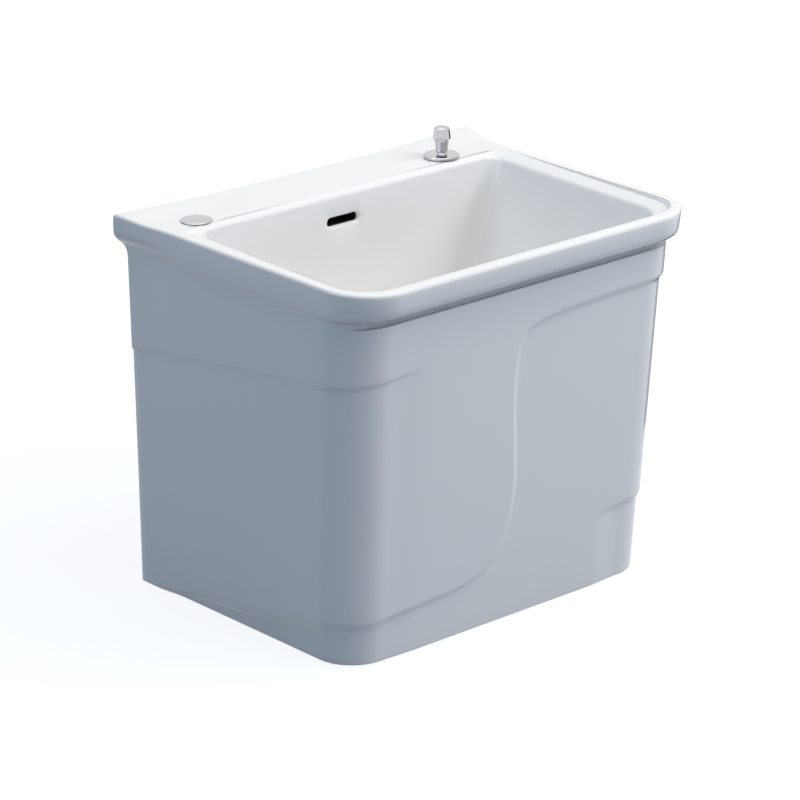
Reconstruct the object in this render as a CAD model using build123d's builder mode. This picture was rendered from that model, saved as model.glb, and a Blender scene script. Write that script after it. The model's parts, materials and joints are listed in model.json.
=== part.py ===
from build123d import *
import os
from math import atan2, cos, hypot, radians, sin, sqrt

os.makedirs("parts", exist_ok=True)

# Frame: X to the right, Y to the wall, Z up, origin on the floor under the middle of the rim.

# Running, fitting and seating clearances
clearance = 0.15
seat_gap = 0.3
hole_margin = 0.75

# Rim of the casting
rim_depth = 396
rim_half_width = 249
rim_corner_radius = 59
wall_flare = 12.5
wall_flare_length = 98
deck_height = 434
rim_underside = 398
rim_top_radius = 8
rim_bottom_radius = 10

# Skirt, measured on the recessed faces; the top is where it meets the rim's underside
skirt_back_half_low = 230.5
skirt_back_half_high = 240
skirt_front_half_low = 229
skirt_front_half_high = 239.5
skirt_front_low = 150
skirt_front_high = 175.2
skirt_corner_radius = 49.5
skirt_wall = 12

# Relief on the skirt: a raised wave from the rim down the left, and a toe recess at the right
relief_height = 4
relief_band_level = 352
relief_wave_x = -4
relief_wave_top_radius = 28
relief_wave_low_radius = 72
relief_corner_level = 47
relief_front_level = 56
relief_side_run = 245
toe_depth = 3.1
toe_level = 89
toe_fade_margin = 5.5
toe_fade_length = 44

# Ledge inside the rim bead, sloping down to the front
bead_width = 11.5
front_bead_width = 12.5
deck_depth = 86
ledge_fall = 6
ledge_front_corner = 46
ledge_back_corner = 18
ledge_width = 18.5
ledge_back_lip = 5
ledge_drop = 5
ledge_edge_radius = 5

# Bowl
bowl_mouth_front_corner = 32
bowl_mouth_back_corner = 16
bowl_floor = 172
bowl_floor_half_width = 125
bowl_floor_front_inset = 94
bowl_floor_back_inset = 14
bowl_floor_corner = 38
bowl_bottom_radius = 22
bowl_wall = 12
bowl_floor_thickness = 18
outlet_dish_depth = 8
outlet_dish_width = 78
outlet_dish_corner = 30

# Back of the casting
deck_thickness = 14
back_wall = 12
under_deck_side = 27
access_leg = 45.5
access_height = 300
access_corner_radius = 25

# Overflow slot, the duct behind it and the channel from the duct to the outlet
overflow_x = -10
overflow_drop = 30
overflow_length = 44
overflow_opening = 10.5
duct_width = 56
duct_depth = 16
duct_wall = 7
duct_roof = 18
channel_width = 30
channel_height = 14
channel_floor_thickness = 10

# Outlet in the bowl floor
outlet_x = 0
outlet_y = 0
outlet_bore_radius = 23
outlet_boss_radius = 42
outlet_boss_height = 38
flange_recess_depth = 3
flange_recess_margin = 1.5

# Pull knob on the deck
knob_side = 88
knob_setback = 66
knob_head_radius = 10.75
knob_head_top_radius = 8.9
knob_head_height = 14
knob_skirt_top_radius = 8.4
knob_skirt_low_radius = 6.8
knob_skirt_height = 13.5
knob_gap = 4.3
knob_edge_radius = 1.6
knob_rim_radius = 1.2
knob_stud_radius = 4
knob_stud_length = 13.5
knob_travel = 10.5
knob_flange_radius = 20.5
knob_flange_height = 3.2
knob_flange_edge = 1.2
knob_flange_recess = 1.8
deck_seal_height = 1
deck_seal_radius = 18.5

# Guide tube under the deck, with the spindle that slides in it
guide_radius = 9
guide_length = 68
guide_neck_length = 11
guide_cap_radius = 11.5
guide_cap_height = 14
guide_cap_floor = 3.7
spindle_radius = 6
spindle_collar_radius = 7.2
spindle_collar_height = 10
oring_section_radius = 0.95
under_washer_height = 3
under_washer_radius = 12.5
guide_nut_width = 24
guide_nut_height = 8

# Push-pull cable: the sheath's route is fixed at both ends by a ferrule
wire_radius = 0.75
wire_seat = 6
sheath_radius = 2.6
sheath_bore_radius = 1.1
sheath_wall_offset = 2
sheath_drop = 9.6
sheath_low_arc_share = 0.45
sheath_knob_arc_share = 0.49
ferrule_radius = 3.6
ferrule_flange_radius = 5
ferrule_flange_thickness = 2
ferrule_nose = 6
ferrule_seat = 8
wire_overlap = 17

# Waste fitting in the outlet
waste_flange_radius = 31.5
waste_flange_height = 3
waste_flange_edge = 1.2
waste_tube_radius = 21
waste_tube_bore = 17.5
waste_seat_radius = 22
waste_seat_depth = 5.5
window_count = 4
window_width = 12
window_sill = 2
spider_depth = 30
spider_height = 5
spider_hub_radius = 8
spider_spoke_count = 3
spider_spoke_width = 3
flange_gasket_height = 1.5
flange_gasket_radius = 30.5
boss_gasket_height = 4
boss_gasket_radius = 33
slip_washer_height = 1.5
slip_washer_radius = 31
lock_nut_width = 58
lock_nut_height = 12

# Housing under the outlet, with the rocker that lifts the stopper
housing_radius = 25
housing_height = 50
housing_bore = 18
housing_gap = 2
housing_socket_depth = 13
pipe_socket_depth = 14.5
rocker_offset = 14
rocker_rise = 23.5
rocker_swing = 17
rocker_shaft_radius = 2.5
shaft_blind_depth = 4.2
finger_length = 14
finger_radius = 3
finger_width = 6
gland_boss_radius = 9
gland_boss_length = 8
gland_bore_radius = 4.6
gland_depth = 5
gland_nut_width = 18
gland_nut_height = 6
gland_spigot_length = 2.9
crank_gap = 2.5
crank_thickness = 5
crank_hub_radius = 6
crank_tip_radius = 5
crank_eye_radius = 2.6
crank_screw_radius = 1.5
crank_screw_proud = 1

# Cable end that the crank pulls
pin_radius = 1.8
pin_proud = 0.6
pin_eye_radius = 3.2
pin_eye_width = 4

# Bracket that holds the cable's lower end
band_height = 7
band_wall = 3
bracket_arm_gap = 1
bracket_arm_width = 7
bracket_arm_start = -10
bracket_tab_front = 41
bracket_tab_thickness = 4
bracket_tab_margin = 6.8
bracket_tab_proud = 3
ear_length = 10
ear_thickness = 3
ear_gap = 3
ear_screw_radius = 2
ear_screw_inset = 5
ear_head_radius = 3.5
ear_head_height = 2.5
ear_nut_width = 7
ear_nut_height = 3.2

# Stopper
stopper_radius = 21
stopper_height = 3.5
stopper_dome = 2.5
stopper_lift = 0.7
stopper_boss_radius = 16.2
stopper_boss_height = 3.4
stopper_lip_radius = 17
stopper_lip_height = 0.7
stopper_ring_radius = 17.8
stopper_ring_section = 1.5
stopper_ring_drop = 1.7
stem_radius = 3
stem_bore_clearance = 0.25
stem_seat_depth = 6

# Drop pipe to the floor
pipe_radius = 20
pipe_bore = 17.5
pipe_foot = 2
pipe_washer_height = 3
slip_nut_radius = 30
slip_nut_height = 20
slip_nut_lip = 4
slip_nut_rib_count = 12
slip_nut_rib_radius = 2
floor_seal_radius = 44
floor_seal_height = 12
floor_seal_edge = 6

# Hole cap on the deck
cap_side = 49
cap_setback = 68.5
cap_hole_radius = 12
cap_radius = 17.5
cap_height = 3
cap_edge = 1.4
cap_boss_radius = 8
cap_boss_length = 5
cap_gasket_height = 0.8
cap_gasket_radius = 16.5
cap_stud_radius = 4
cap_stud_length = 41
cap_stud_seat = 5.5
cap_bar_length = 34
cap_bar_width = 18
cap_bar_height = 3
cap_nut_width = 13
cap_nut_height = 7

back_y = rim_depth / 2
front_y = -rim_depth / 2
ledge_back = back_y - deck_depth
bowl_floor_front = front_y + bowl_floor_front_inset
bowl_floor_back = ledge_back - bowl_floor_back_inset
knob_x = rim_half_width - knob_side
knob_y = back_y - knob_setback
cap_x = cap_side - rim_half_width
cap_y = back_y - cap_setback
under_deck = deck_height - deck_thickness
under_deck_half_width = rim_half_width - under_deck_side
access_half_width = skirt_back_half_low - access_leg
overflow_height = deck_height - overflow_drop
duct_top = deck_height - duct_roof
bowl_back_wall = ledge_back - ledge_back_lip + bowl_wall
outlet_floor = bowl_floor - outlet_dish_depth
up = (Align.CENTER, Align.CENTER, Align.MIN)


def rod(radius, low, high, mode=Mode.ADD):
    """Round bar or bore between two heights on the sub-part's own axis."""
    with Locations((0, 0, low)):
        Cylinder(radius, high - low, align=up, mode=mode)


def rim_plan(height):
    """Plan of the rim: straight sides that swing out to the wall, rounded front corners."""
    flare_start = (rim_half_width, back_y - wall_flare_length)
    wall_corner = (rim_half_width + wall_flare, back_y)
    with BuildSketch(Plane.XY.offset(height)) as plan:
        with BuildLine():
            Line((0, back_y), wall_corner)
            TangentArc(flare_start, wall_corner, tangent=(0, 1))
            Line(flare_start, (rim_half_width, front_y))
            Line((rim_half_width, front_y), (0, front_y))
            mirror(about=Plane.YZ)
        make_face()
        front_corners = plan.vertices().group_by(Axis.Y)[0].filter_by(lambda v: abs(v.X) > 1)
        fillet(front_corners, rim_corner_radius)
    return plan.sketch


def skirt_plan(height, back_half, front_half, front, radius, back):
    """Plan of the skirt: square corners at the wall, rounded ones at the front."""
    with BuildSketch(Plane.XY.offset(height)) as plan:
        with BuildLine():
            Polyline(
                (-back_half, back), (back_half, back), (front_half, -front), (-front_half, -front), close=True
            )
        make_face()
        fillet(plan.vertices().group_by(Axis.Y)[0], radius)
    return plan.sketch


def skirt_form(grow, back=back_y):
    """The tapered skirt, with its side and front faces moved out by grow."""
    with BuildPart() as form:
        low = skirt_plan(
            0, skirt_back_half_low + grow, skirt_front_half_low + grow, skirt_front_low + grow,
            skirt_corner_radius + grow, back,
        )
        high = skirt_plan(
            rim_underside, skirt_back_half_high + grow, skirt_front_half_high + grow,
            skirt_front_high + grow, skirt_corner_radius + grow, back,
        )
        loft([low, high], ruled=True)
    return form.part


def bowl_plan(plane, half_width, front, back, front_radius, back_radius):
    """Rounded rectangle with its own radius at the front and at the back corners."""
    with BuildSketch(plane) as plan:
        with Locations((0, (front + back) / 2)):
            Rectangle(2 * half_width, back - front)
        fillet(plan.vertices().group_by(Axis.Y)[0], front_radius)
        fillet(plan.vertices().group_by(Axis.Y)[-1], back_radius)
    return plan.sketch


# Planes of the ledge: level with the deck at the back, lower than the bead at the front
ledge_front = front_y + front_bead_width
ledge_slope = atan2(ledge_fall, ledge_back - ledge_front)
ledge_plane = Plane(
    origin=(0, ledge_back, deck_height), x_dir=(1, 0, 0), z_dir=(0, -sin(ledge_slope), cos(ledge_slope))
)
ledge_length = (ledge_back - ledge_front) / cos(ledge_slope)
ledge_half_width = rim_half_width - bead_width
mouth_plane = ledge_plane.offset(-ledge_drop)


def bowl_form(grow, floor_level):
    """The bowl from its mouth to its floor, with its walls moved out by grow."""
    mouth = bowl_plan(
        mouth_plane, ledge_half_width - ledge_width + grow, -ledge_length + ledge_width - grow,
        grow - ledge_back_lip, bowl_mouth_front_corner + grow, bowl_mouth_back_corner + grow,
    )
    floor = bowl_plan(
        Plane.XY.offset(floor_level), bowl_floor_half_width + grow, bowl_floor_front - grow,
        bowl_floor_back + grow, bowl_floor_corner + grow, bowl_floor_corner + grow,
    )
    with BuildPart() as form:
        loft([mouth, floor], ruled=True)
        fillet(form.edges().group_by(Axis.Z)[0], bowl_bottom_radius + grow)
    return form.part


# Where the wave is raised: over the front, over the left side and over the right side
corner_end = skirt_corner_radius - skirt_front_low
reach = 2 * rim_half_width
over_rim = rim_underside + 1
with BuildPart() as wave_region:
    with BuildSketch(Plane.XZ.offset(-corner_end)):
        with BuildLine():
            wave = FilletPolyline(
                (reach, relief_band_level),
                (relief_wave_x, relief_band_level),
                (relief_wave_x, relief_front_level),
                (-skirt_front_half_low, relief_corner_level),
                radius=[relief_wave_top_radius, relief_wave_low_radius],
            )
            Polyline(wave @ 1, (-reach, relief_corner_level), (-reach, over_rim), (reach, over_rim), wave @ 0)
        make_face()
    extrude(amount=reach)
    with BuildSketch(Plane.YZ.offset(-reach)):
        with BuildLine():
            side = TangentArc(
                (corner_end, relief_corner_level), (corner_end + relief_side_run, 0), tangent=(1, -0.3)
            )
            Polyline(
                side @ 1, (back_y + 1, 0), (back_y + 1, over_rim), (corner_end, over_rim), side @ 0
            )
        make_face()
    extrude(amount=reach)
    with BuildSketch(Plane.YZ):
        with Locations(((corner_end + back_y + 1) / 2, (relief_band_level + over_rim) / 2)):
            Rectangle(back_y + 1 - corner_end, over_rim - relief_band_level)
    extrude(amount=reach)

with BuildPart() as wave_relief:
    add(skirt_form(relief_height))
    add(wave_region.part, mode=Mode.INTERSECT)


toe_fade_end = min(skirt_front_half_low, skirt_front_half_high) - skirt_corner_radius - toe_fade_margin
toe_fade_start = toe_fade_end - toe_fade_length


def toe_plan(height, back_half, front_half, front):
    """Plan inside the toe recess: its front runs out of the skirt where the recess fades."""
    side_in = back_half - toe_depth
    front_in = front_half - toe_depth
    with BuildSketch(Plane.XY.offset(height)) as plan:
        with BuildLine():
            Polyline(
                (0, back_y + 1), (side_in, back_y + 1), (front_in, toe_depth - front),
                (toe_fade_end, toe_depth - front), (toe_fade_start, -front - toe_depth / 10),
                (toe_fade_start, -front - toe_depth), (0, -front - toe_depth), close=True,
            )
        make_face()
        corner = plan.vertices().filter_by(
            lambda v: abs(v.X - front_in) < 0.01 and v.Y < 0
        )
        fillet(corner, skirt_corner_radius - toe_depth)
    return plan.sketch


with BuildPart() as toe_recess:
    with BuildSketch(Plane.XY):
        with Locations((reach / 2, 0)):
            Rectangle(reach, reach)
    extrude(amount=toe_level)
    loft(
        [
            toe_plan(0, skirt_back_half_low, skirt_front_half_low, skirt_front_low),
            toe_plan(rim_underside, skirt_back_half_high, skirt_front_half_high, skirt_front_high),
        ],
        ruled=True,
        mode=Mode.SUBTRACT,
    )

with BuildPart() as rim_band:
    extrude(rim_plan(rim_underside), amount=deck_height - rim_underside)
    rim_low = rim_band.edges().group_by(Axis.Z)[0].filter_by(lambda e: e.center().Y < back_y - 1)
    rim_high = rim_band.edges().group_by(Axis.Z)[-1].filter_by(lambda e: e.center().Y < back_y - 1)
    fillet(rim_low, rim_bottom_radius)
    fillet(rim_high, rim_top_radius)

# Everything that is open above: the ledge, the bowl, its dished floor and the outlet
with BuildPart() as bowl_space:
    ledge = bowl_plan(
        ledge_plane, ledge_half_width, -ledge_length, 0, ledge_front_corner, ledge_back_corner
    )
    extrude(ledge, amount=ledge_fall + ledge_drop)
    mouth = bowl_plan(
        mouth_plane, ledge_half_width - ledge_width, -ledge_length + ledge_width, -ledge_back_lip,
        bowl_mouth_front_corner, bowl_mouth_back_corner,
    )
    loft([ledge, mouth], ruled=True)
    add(bowl_form(0, bowl_floor))
    dish_high = bowl_plan(
        Plane.XY.offset(bowl_floor), bowl_floor_half_width - bowl_bottom_radius,
        bowl_floor_front + bowl_bottom_radius, bowl_floor_back - bowl_bottom_radius,
        bowl_floor_corner, bowl_floor_corner,
    )
    dish_low = bowl_plan(
        Plane.XY.offset(bowl_floor - outlet_dish_depth), outlet_dish_width / 2,
        -outlet_dish_width / 2, outlet_dish_width / 2, outlet_dish_corner, outlet_dish_corner,
    )
    loft([dish_high, dish_low], ruled=True)
    lip = bowl_space.edges().filter_by(lambda e: abs(mouth_plane.to_local_coords(e.center()).Z) < 0.01)
    fillet(lip, ledge_edge_radius)


# What stands in the room under the casting: the overflow duct, its channel and the outlet boss
outlet_axis = Plane(origin=(outlet_x, outlet_y, 0))
knob_axis = Plane(origin=(knob_x, knob_y, 0))
cap_axis = Plane(origin=(cap_x, cap_y, 0))
boss_low = outlet_floor - outlet_boss_height
channel_low = boss_low + channel_floor_thickness
duct_back = bowl_back_wall + duct_depth
with BuildPart() as duct_block:
    with Locations((overflow_x, duct_back + duct_wall, boss_low)):
        Box(
            duct_width + 2 * duct_wall, duct_back + duct_wall - outlet_y, bowl_floor - boss_low,
            align=(Align.CENTER, Align.MAX, Align.MIN),
        )
        Box(
            duct_width + 2 * duct_wall, duct_depth + duct_wall + bowl_wall, deck_height - boss_low,
            align=(Align.CENTER, Align.MAX, Align.MIN),
        )
    with Locations((outlet_x, outlet_y, boss_low)):
        Cylinder(outlet_boss_radius, bowl_floor - boss_low, align=up)

with BuildPart() as under_space:
    add(skirt_form(-skirt_wall, back_y - back_wall))
    with Locations((0, (bowl_back_wall + back_y - back_wall) / 2, (rim_underside + under_deck) / 2)):
        Box(2 * under_deck_half_width, back_y - back_wall - bowl_back_wall, under_deck - rim_underside)
    add(bowl_form(bowl_wall, bowl_floor - bowl_floor_thickness), mode=Mode.SUBTRACT)
    add(duct_block.part, mode=Mode.SUBTRACT)

with BuildPart() as china_tub:
    add(skirt_form(0))
    add(wave_relief.part)
    add(toe_recess.part, mode=Mode.SUBTRACT)
    add(rim_band.part)
    add(bowl_space.part, mode=Mode.SUBTRACT)
    add(under_space.part, mode=Mode.SUBTRACT)
    with BuildSketch(Plane.XZ.offset(-back_y)) as access_plan:
        with Locations((0, access_height / 2)):
            Rectangle(2 * access_half_width, access_height)
        fillet(access_plan.vertices().group_by(Axis.Y)[-1], access_corner_radius)
    extrude(amount=back_wall, mode=Mode.SUBTRACT)
    with Locations((overflow_x, bowl_back_wall, channel_low)):
        Box(duct_width, duct_depth, duct_top - channel_low, align=(Align.CENTER, Align.MIN, Align.MIN),
            mode=Mode.SUBTRACT)
    with Locations((outlet_x, outlet_y, channel_low)):
        Box(channel_width, bowl_back_wall + 1 - outlet_y, channel_height,
            align=(Align.CENTER, Align.MIN, Align.MIN), mode=Mode.SUBTRACT)
    with BuildSketch(Plane.XZ.offset(-bowl_back_wall - 1)):
        with Locations((overflow_x, overflow_height)):
            SlotOverall(overflow_length, overflow_opening)
    extrude(amount=bowl_back_wall + 1, mode=Mode.SUBTRACT)
    with Locations(outlet_axis):
        rod(outlet_bore_radius, boss_low, outlet_floor, mode=Mode.SUBTRACT)
        rod(
            waste_flange_radius + flange_recess_margin, outlet_floor - flange_recess_depth, outlet_floor,
            mode=Mode.SUBTRACT,
        )
    with Locations(knob_axis):
        rod(guide_radius + hole_margin, under_deck, deck_height, mode=Mode.SUBTRACT)
    with Locations(cap_axis):
        rod(cap_hole_radius, under_deck, deck_height, mode=Mode.SUBTRACT)

china_tub.part.label = "china_tub"
export_step(china_tub.part, "parts/china_tub.step")

# Heights on the pull knob's axis, from the deck up and from the deck down
flange_low = deck_height + deck_seal_height
flange_high = flange_low + knob_flange_height
knob_low = flange_high + knob_gap
guide_high = flange_low + knob_flange_recess - seat_gap
guide_low = guide_high - guide_length
guide_shoulder = guide_high - guide_neck_length
guide_bore = spindle_collar_radius + clearance
collar_high = guide_shoulder - knob_travel - seat_gap
collar_low = collar_high - spindle_collar_height
sheath_top = guide_low - seat_gap - guide_cap_floor

with BuildPart(knob_axis) as deck_seal:
    rod(deck_seal_radius, deck_height, flange_low)
    rod(guide_radius + clearance, deck_height, flange_low, mode=Mode.SUBTRACT)

deck_seal.part.label = "deck_seal"
export_step(deck_seal.part, "parts/deck_seal.step")

with BuildPart(knob_axis) as knob_flange:
    rod(knob_flange_radius, flange_low, flange_high)
    fillet(knob_flange.edges().group_by(Axis.Z)[-1], knob_flange_edge)
    rod(guide_radius + clearance, flange_low, flange_low + knob_flange_recess, mode=Mode.SUBTRACT)
    rod(spindle_radius + clearance, flange_low, flange_high, mode=Mode.SUBTRACT)

knob_flange.part.label = "knob_flange"
export_step(knob_flange.part, "parts/knob_flange.step")

with BuildPart(knob_axis) as guide_tube:
    rod(guide_radius, guide_low, guide_high)
    rod(spindle_radius + clearance, guide_shoulder, guide_high, mode=Mode.SUBTRACT)
    rod(guide_bore, guide_low, guide_shoulder, mode=Mode.SUBTRACT)

guide_tube.part.label = "guide_tube"
export_step(guide_tube.part, "parts/guide_tube.step")

with BuildPart(knob_axis) as under_deck_washer:
    rod(under_washer_radius, under_deck - under_washer_height, under_deck)
    rod(guide_radius + clearance, under_deck - under_washer_height, under_deck, mode=Mode.SUBTRACT)

under_deck_washer.part.label = "under_deck_washer"
export_step(under_deck_washer.part, "parts/under_deck_washer.step")

guide_nut_high = under_deck - under_washer_height
with BuildPart() as guide_nut:
    with BuildSketch(knob_axis.offset(guide_nut_high - guide_nut_height)):
        RegularPolygon(guide_nut_width / 2, 6, major_radius=False)
        Circle(guide_radius + clearance, mode=Mode.SUBTRACT)
    extrude(amount=guide_nut_height)

guide_nut.part.label = "guide_nut"
export_step(guide_nut.part, "parts/guide_nut.step")

with BuildPart(knob_axis) as guide_end_cap:
    rod(guide_cap_radius, sheath_top, sheath_top + guide_cap_height)
    chamfer(guide_end_cap.edges().group_by(Axis.Z)[0], 1)
    rod(guide_radius + clearance, guide_low - seat_gap, sheath_top + guide_cap_height, mode=Mode.SUBTRACT)
    rod(ferrule_radius + clearance, sheath_top, guide_low, mode=Mode.SUBTRACT)

guide_end_cap.part.label = "guide_end_cap"
export_step(guide_end_cap.part, "parts/guide_end_cap.step")

# The knob: a flared skirt under a wide head that narrows to the top
with BuildPart() as pull_knob:
    with BuildSketch(Plane(origin=(knob_x, knob_y, knob_low), x_dir=(1, 0, 0), z_dir=(0, -1, 0))) as profile:
        with BuildLine():
            Polyline(
                (0, 0), (knob_skirt_low_radius, 0), (knob_skirt_top_radius, knob_skirt_height),
                (knob_head_radius, knob_skirt_height),
                (knob_head_top_radius, knob_skirt_height + knob_head_height),
                (0, knob_skirt_height + knob_head_height), close=True,
            )
        make_face()
        fillet(profile.vertices().sort_by(Axis.X)[-1], knob_rim_radius)
        fillet(
            profile.vertices().group_by(Axis.Y)[-1].sort_by(Axis.X)[-1], knob_edge_radius
        )
    revolve(axis=Axis((knob_x, knob_y, 0), (0, 0, 1)))
    with Locations((knob_x, knob_y, knob_low)):
        Cylinder(
            knob_stud_radius + clearance, knob_stud_length + seat_gap, align=up, mode=Mode.SUBTRACT
        )

pull_knob.part.label = "pull_knob"
export_step(pull_knob.part, "parts/pull_knob.step")

with BuildPart(knob_axis) as knob_spindle:
    rod(knob_stud_radius, knob_low, knob_low + knob_stud_length)
    rod(spindle_radius, collar_high, knob_low)
    rod(spindle_collar_radius, collar_low, collar_high)
    rod(wire_radius + clearance, collar_low, collar_low + wire_seat, mode=Mode.SUBTRACT)
    with Locations((0, 0, (collar_low + collar_high) / 2)):
        Torus(
            spindle_collar_radius - oring_section_radius, oring_section_radius + clearance / 2,
            mode=Mode.SUBTRACT,
        )

knob_spindle.part.label = "knob_spindle"
export_step(knob_spindle.part, "parts/knob_spindle.step")

with BuildPart(knob_axis.offset((collar_low + collar_high) / 2)) as spindle_oring:
    Torus(spindle_collar_radius - oring_section_radius, oring_section_radius)

spindle_oring.part.label = "spindle_oring"
export_step(spindle_oring.part, "parts/spindle_oring.step")

with BuildPart(knob_axis) as pull_wire_upper:
    rod(wire_radius, sheath_top - wire_overlap, collar_low + wire_seat - seat_gap)

pull_wire_upper.part.label = "pull_wire_upper"
export_step(pull_wire_upper.part, "parts/pull_wire_upper.step")

# The waste fitting: a flanged tube with a cone seat, windows for the overflow and a spider for the stem
waste_flange_low = outlet_floor - flange_recess_depth + flange_gasket_height
waste_flange_high = waste_flange_low + waste_flange_height
lock_nut_high = boss_low - boss_gasket_height - slip_washer_height
housing_high = lock_nut_high - lock_nut_height - housing_gap
housing_low = housing_high - housing_height
waste_tube_low = housing_high - housing_socket_depth + seat_gap
spider_low = waste_flange_high - spider_depth - spider_height

with BuildPart(outlet_axis) as waste_flange:
    rod(waste_flange_radius, waste_flange_low, waste_flange_high)
    fillet(waste_flange.edges().group_by(Axis.Z)[-1], waste_flange_edge)
    rod(waste_tube_radius, waste_tube_low, waste_flange_low)
    rod(waste_tube_bore, waste_tube_low, waste_flange_high, mode=Mode.SUBTRACT)
    with Locations((0, 0, waste_flange_high)):
        Cone(waste_tube_bore, waste_seat_radius, waste_seat_depth,
             align=(Align.CENTER, Align.CENTER, Align.MAX), mode=Mode.SUBTRACT)
    with Locations((0, 0, channel_low + window_sill)):
        with PolarLocations(0, window_count):
            Box(
                waste_tube_radius + 1, window_width, channel_height - window_sill,
                align=(Align.MIN, Align.CENTER, Align.MIN), mode=Mode.SUBTRACT,
            )
    rod(spider_hub_radius, spider_low, spider_low + spider_height)
    with Locations((0, 0, spider_low)):
        with PolarLocations(0, spider_spoke_count, start_angle=90):
            Box(
                (waste_tube_bore + waste_tube_radius) / 2, spider_spoke_width, spider_height,
                align=(Align.MIN, Align.CENTER, Align.MIN),
            )
    rod(stem_radius + stem_bore_clearance, spider_low, spider_low + spider_height, mode=Mode.SUBTRACT)

waste_flange.part.label = "waste_flange"
export_step(waste_flange.part, "parts/waste_flange.step")

with BuildPart(outlet_axis) as flange_gasket:
    rod(flange_gasket_radius, waste_flange_low - flange_gasket_height, waste_flange_low)
    rod(waste_tube_radius + clearance, waste_flange_low - flange_gasket_height, waste_flange_low,
        mode=Mode.SUBTRACT)

flange_gasket.part.label = "flange_gasket"
export_step(flange_gasket.part, "parts/flange_gasket.step")

with BuildPart(outlet_axis) as boss_gasket:
    rod(boss_gasket_radius, boss_low - boss_gasket_height, boss_low)
    rod(waste_tube_radius + clearance, boss_low - boss_gasket_height, boss_low, mode=Mode.SUBTRACT)

boss_gasket.part.label = "boss_gasket"
export_step(boss_gasket.part, "parts/boss_gasket.step")

with BuildPart(outlet_axis) as slip_washer:
    rod(slip_washer_radius, lock_nut_high, lock_nut_high + slip_washer_height)
    rod(waste_tube_radius + clearance, lock_nut_high, lock_nut_high + slip_washer_height,
        mode=Mode.SUBTRACT)

slip_washer.part.label = "slip_washer"
export_step(slip_washer.part, "parts/slip_washer.step")

with BuildPart() as lock_nut:
    with BuildSketch(outlet_axis.offset(lock_nut_high - lock_nut_height)):
        RegularPolygon(lock_nut_width / 2, 6, major_radius=False)
        Circle(waste_tube_radius + clearance, mode=Mode.SUBTRACT)
    extrude(amount=lock_nut_height)

lock_nut.part.label = "lock_nut"
export_step(lock_nut.part, "parts/lock_nut.step")

# The housing under the outlet, with the gland for the rocker's shaft on its right side
rocker_y = outlet_y + rocker_offset
rocker_height = housing_low + rocker_rise
gland_boss_end = housing_radius + gland_boss_length
shaft_blind_end = sqrt(housing_bore**2 - rocker_offset**2) + shaft_blind_depth
crank_length = knob_travel / 2 / sin(radians(rocker_swing))
shaft_axis = Plane(origin=(outlet_x, rocker_y, rocker_height), x_dir=(0, 1, 0), z_dir=(1, 0, 0))
shaft_bore = rocker_shaft_radius + clearance
with BuildPart() as pivot_housing:
    with Locations(outlet_axis):
        rod(housing_radius, housing_low, housing_high)
    with Locations(shaft_axis):
        rod(gland_boss_radius, housing_bore / 2, gland_boss_end)
    with Locations(outlet_axis):
        rod(housing_bore, housing_low, housing_high, mode=Mode.SUBTRACT)
        rod(waste_tube_radius + clearance, housing_high - housing_socket_depth, housing_high,
            mode=Mode.SUBTRACT)
        rod(pipe_radius + clearance, housing_low, housing_low + pipe_socket_depth, mode=Mode.SUBTRACT)
    with Locations(shaft_axis):
        rod(shaft_bore, -shaft_blind_end - seat_gap, gland_boss_end, mode=Mode.SUBTRACT)
        rod(gland_bore_radius, gland_boss_end - gland_depth, gland_boss_end, mode=Mode.SUBTRACT)

pivot_housing.part.label = "pivot_housing"
export_step(pivot_housing.part, "parts/pivot_housing.step")

oring_centre = rocker_shaft_radius + clearance + oring_section_radius
with BuildPart(shaft_axis.offset(gland_boss_end - gland_depth + oring_section_radius)) as shaft_oring:
    Torus(oring_centre, oring_section_radius)

shaft_oring.part.label = "shaft_oring"
export_step(shaft_oring.part, "parts/shaft_oring.step")

gland_nut_end = gland_boss_end + gland_nut_height
with BuildPart() as gland_nut:
    with BuildSketch(shaft_axis.offset(gland_boss_end)):
        RegularPolygon(gland_nut_width / 2, 6, major_radius=False)
    extrude(amount=gland_nut_height)
    with Locations(shaft_axis):
        rod(gland_bore_radius - clearance, gland_boss_end - gland_spigot_length, gland_boss_end)
        rod(shaft_bore, gland_boss_end - gland_spigot_length, gland_nut_end, mode=Mode.SUBTRACT)

gland_nut.part.label = "gland_nut"
export_step(gland_nut.part, "parts/gland_nut.step")

# The rocker: a shaft through the housing wall, with a finger inside that lifts the stem
crank_low = gland_nut_end + crank_gap
crank_high = crank_low + crank_thickness
finger_angle = 180 + rocker_swing
crank_angle = 90 + rocker_swing
with BuildPart() as rocker_shaft:
    with Locations(shaft_axis):
        rod(rocker_shaft_radius, -shaft_blind_end, crank_high)
    with BuildSketch(shaft_axis.offset(-finger_width / 2)):
        with PolarLocations(finger_length / 2, 1, start_angle=finger_angle):
            SlotCenterToCenter(finger_length, 2 * finger_radius)
    extrude(amount=finger_width)

rocker_shaft.part.label = "rocker_shaft"
export_step(rocker_shaft.part, "parts/rocker_shaft.step")

grub_plane = Plane(
    origin=(outlet_x + (crank_low + crank_high) / 2, rocker_y, rocker_height),
    z_dir=(0, -cos(radians(crank_angle)), -sin(radians(crank_angle))),
)
with BuildPart() as crank_arm:
    with BuildSketch(shaft_axis.offset(crank_low)):
        Circle(crank_hub_radius)
        with PolarLocations(crank_length, 1, start_angle=crank_angle):
            Circle(crank_tip_radius)
        make_hull()
        Circle(shaft_bore, mode=Mode.SUBTRACT)
        with PolarLocations(crank_length, 1, start_angle=crank_angle):
            Circle(crank_eye_radius, mode=Mode.SUBTRACT)
    extrude(amount=crank_thickness)
    with Locations(grub_plane):
        rod(crank_screw_radius + clearance, 0, crank_hub_radius + 1, mode=Mode.SUBTRACT)

crank_arm.part.label = "crank_arm"
export_step(crank_arm.part, "parts/crank_arm.step")

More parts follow.
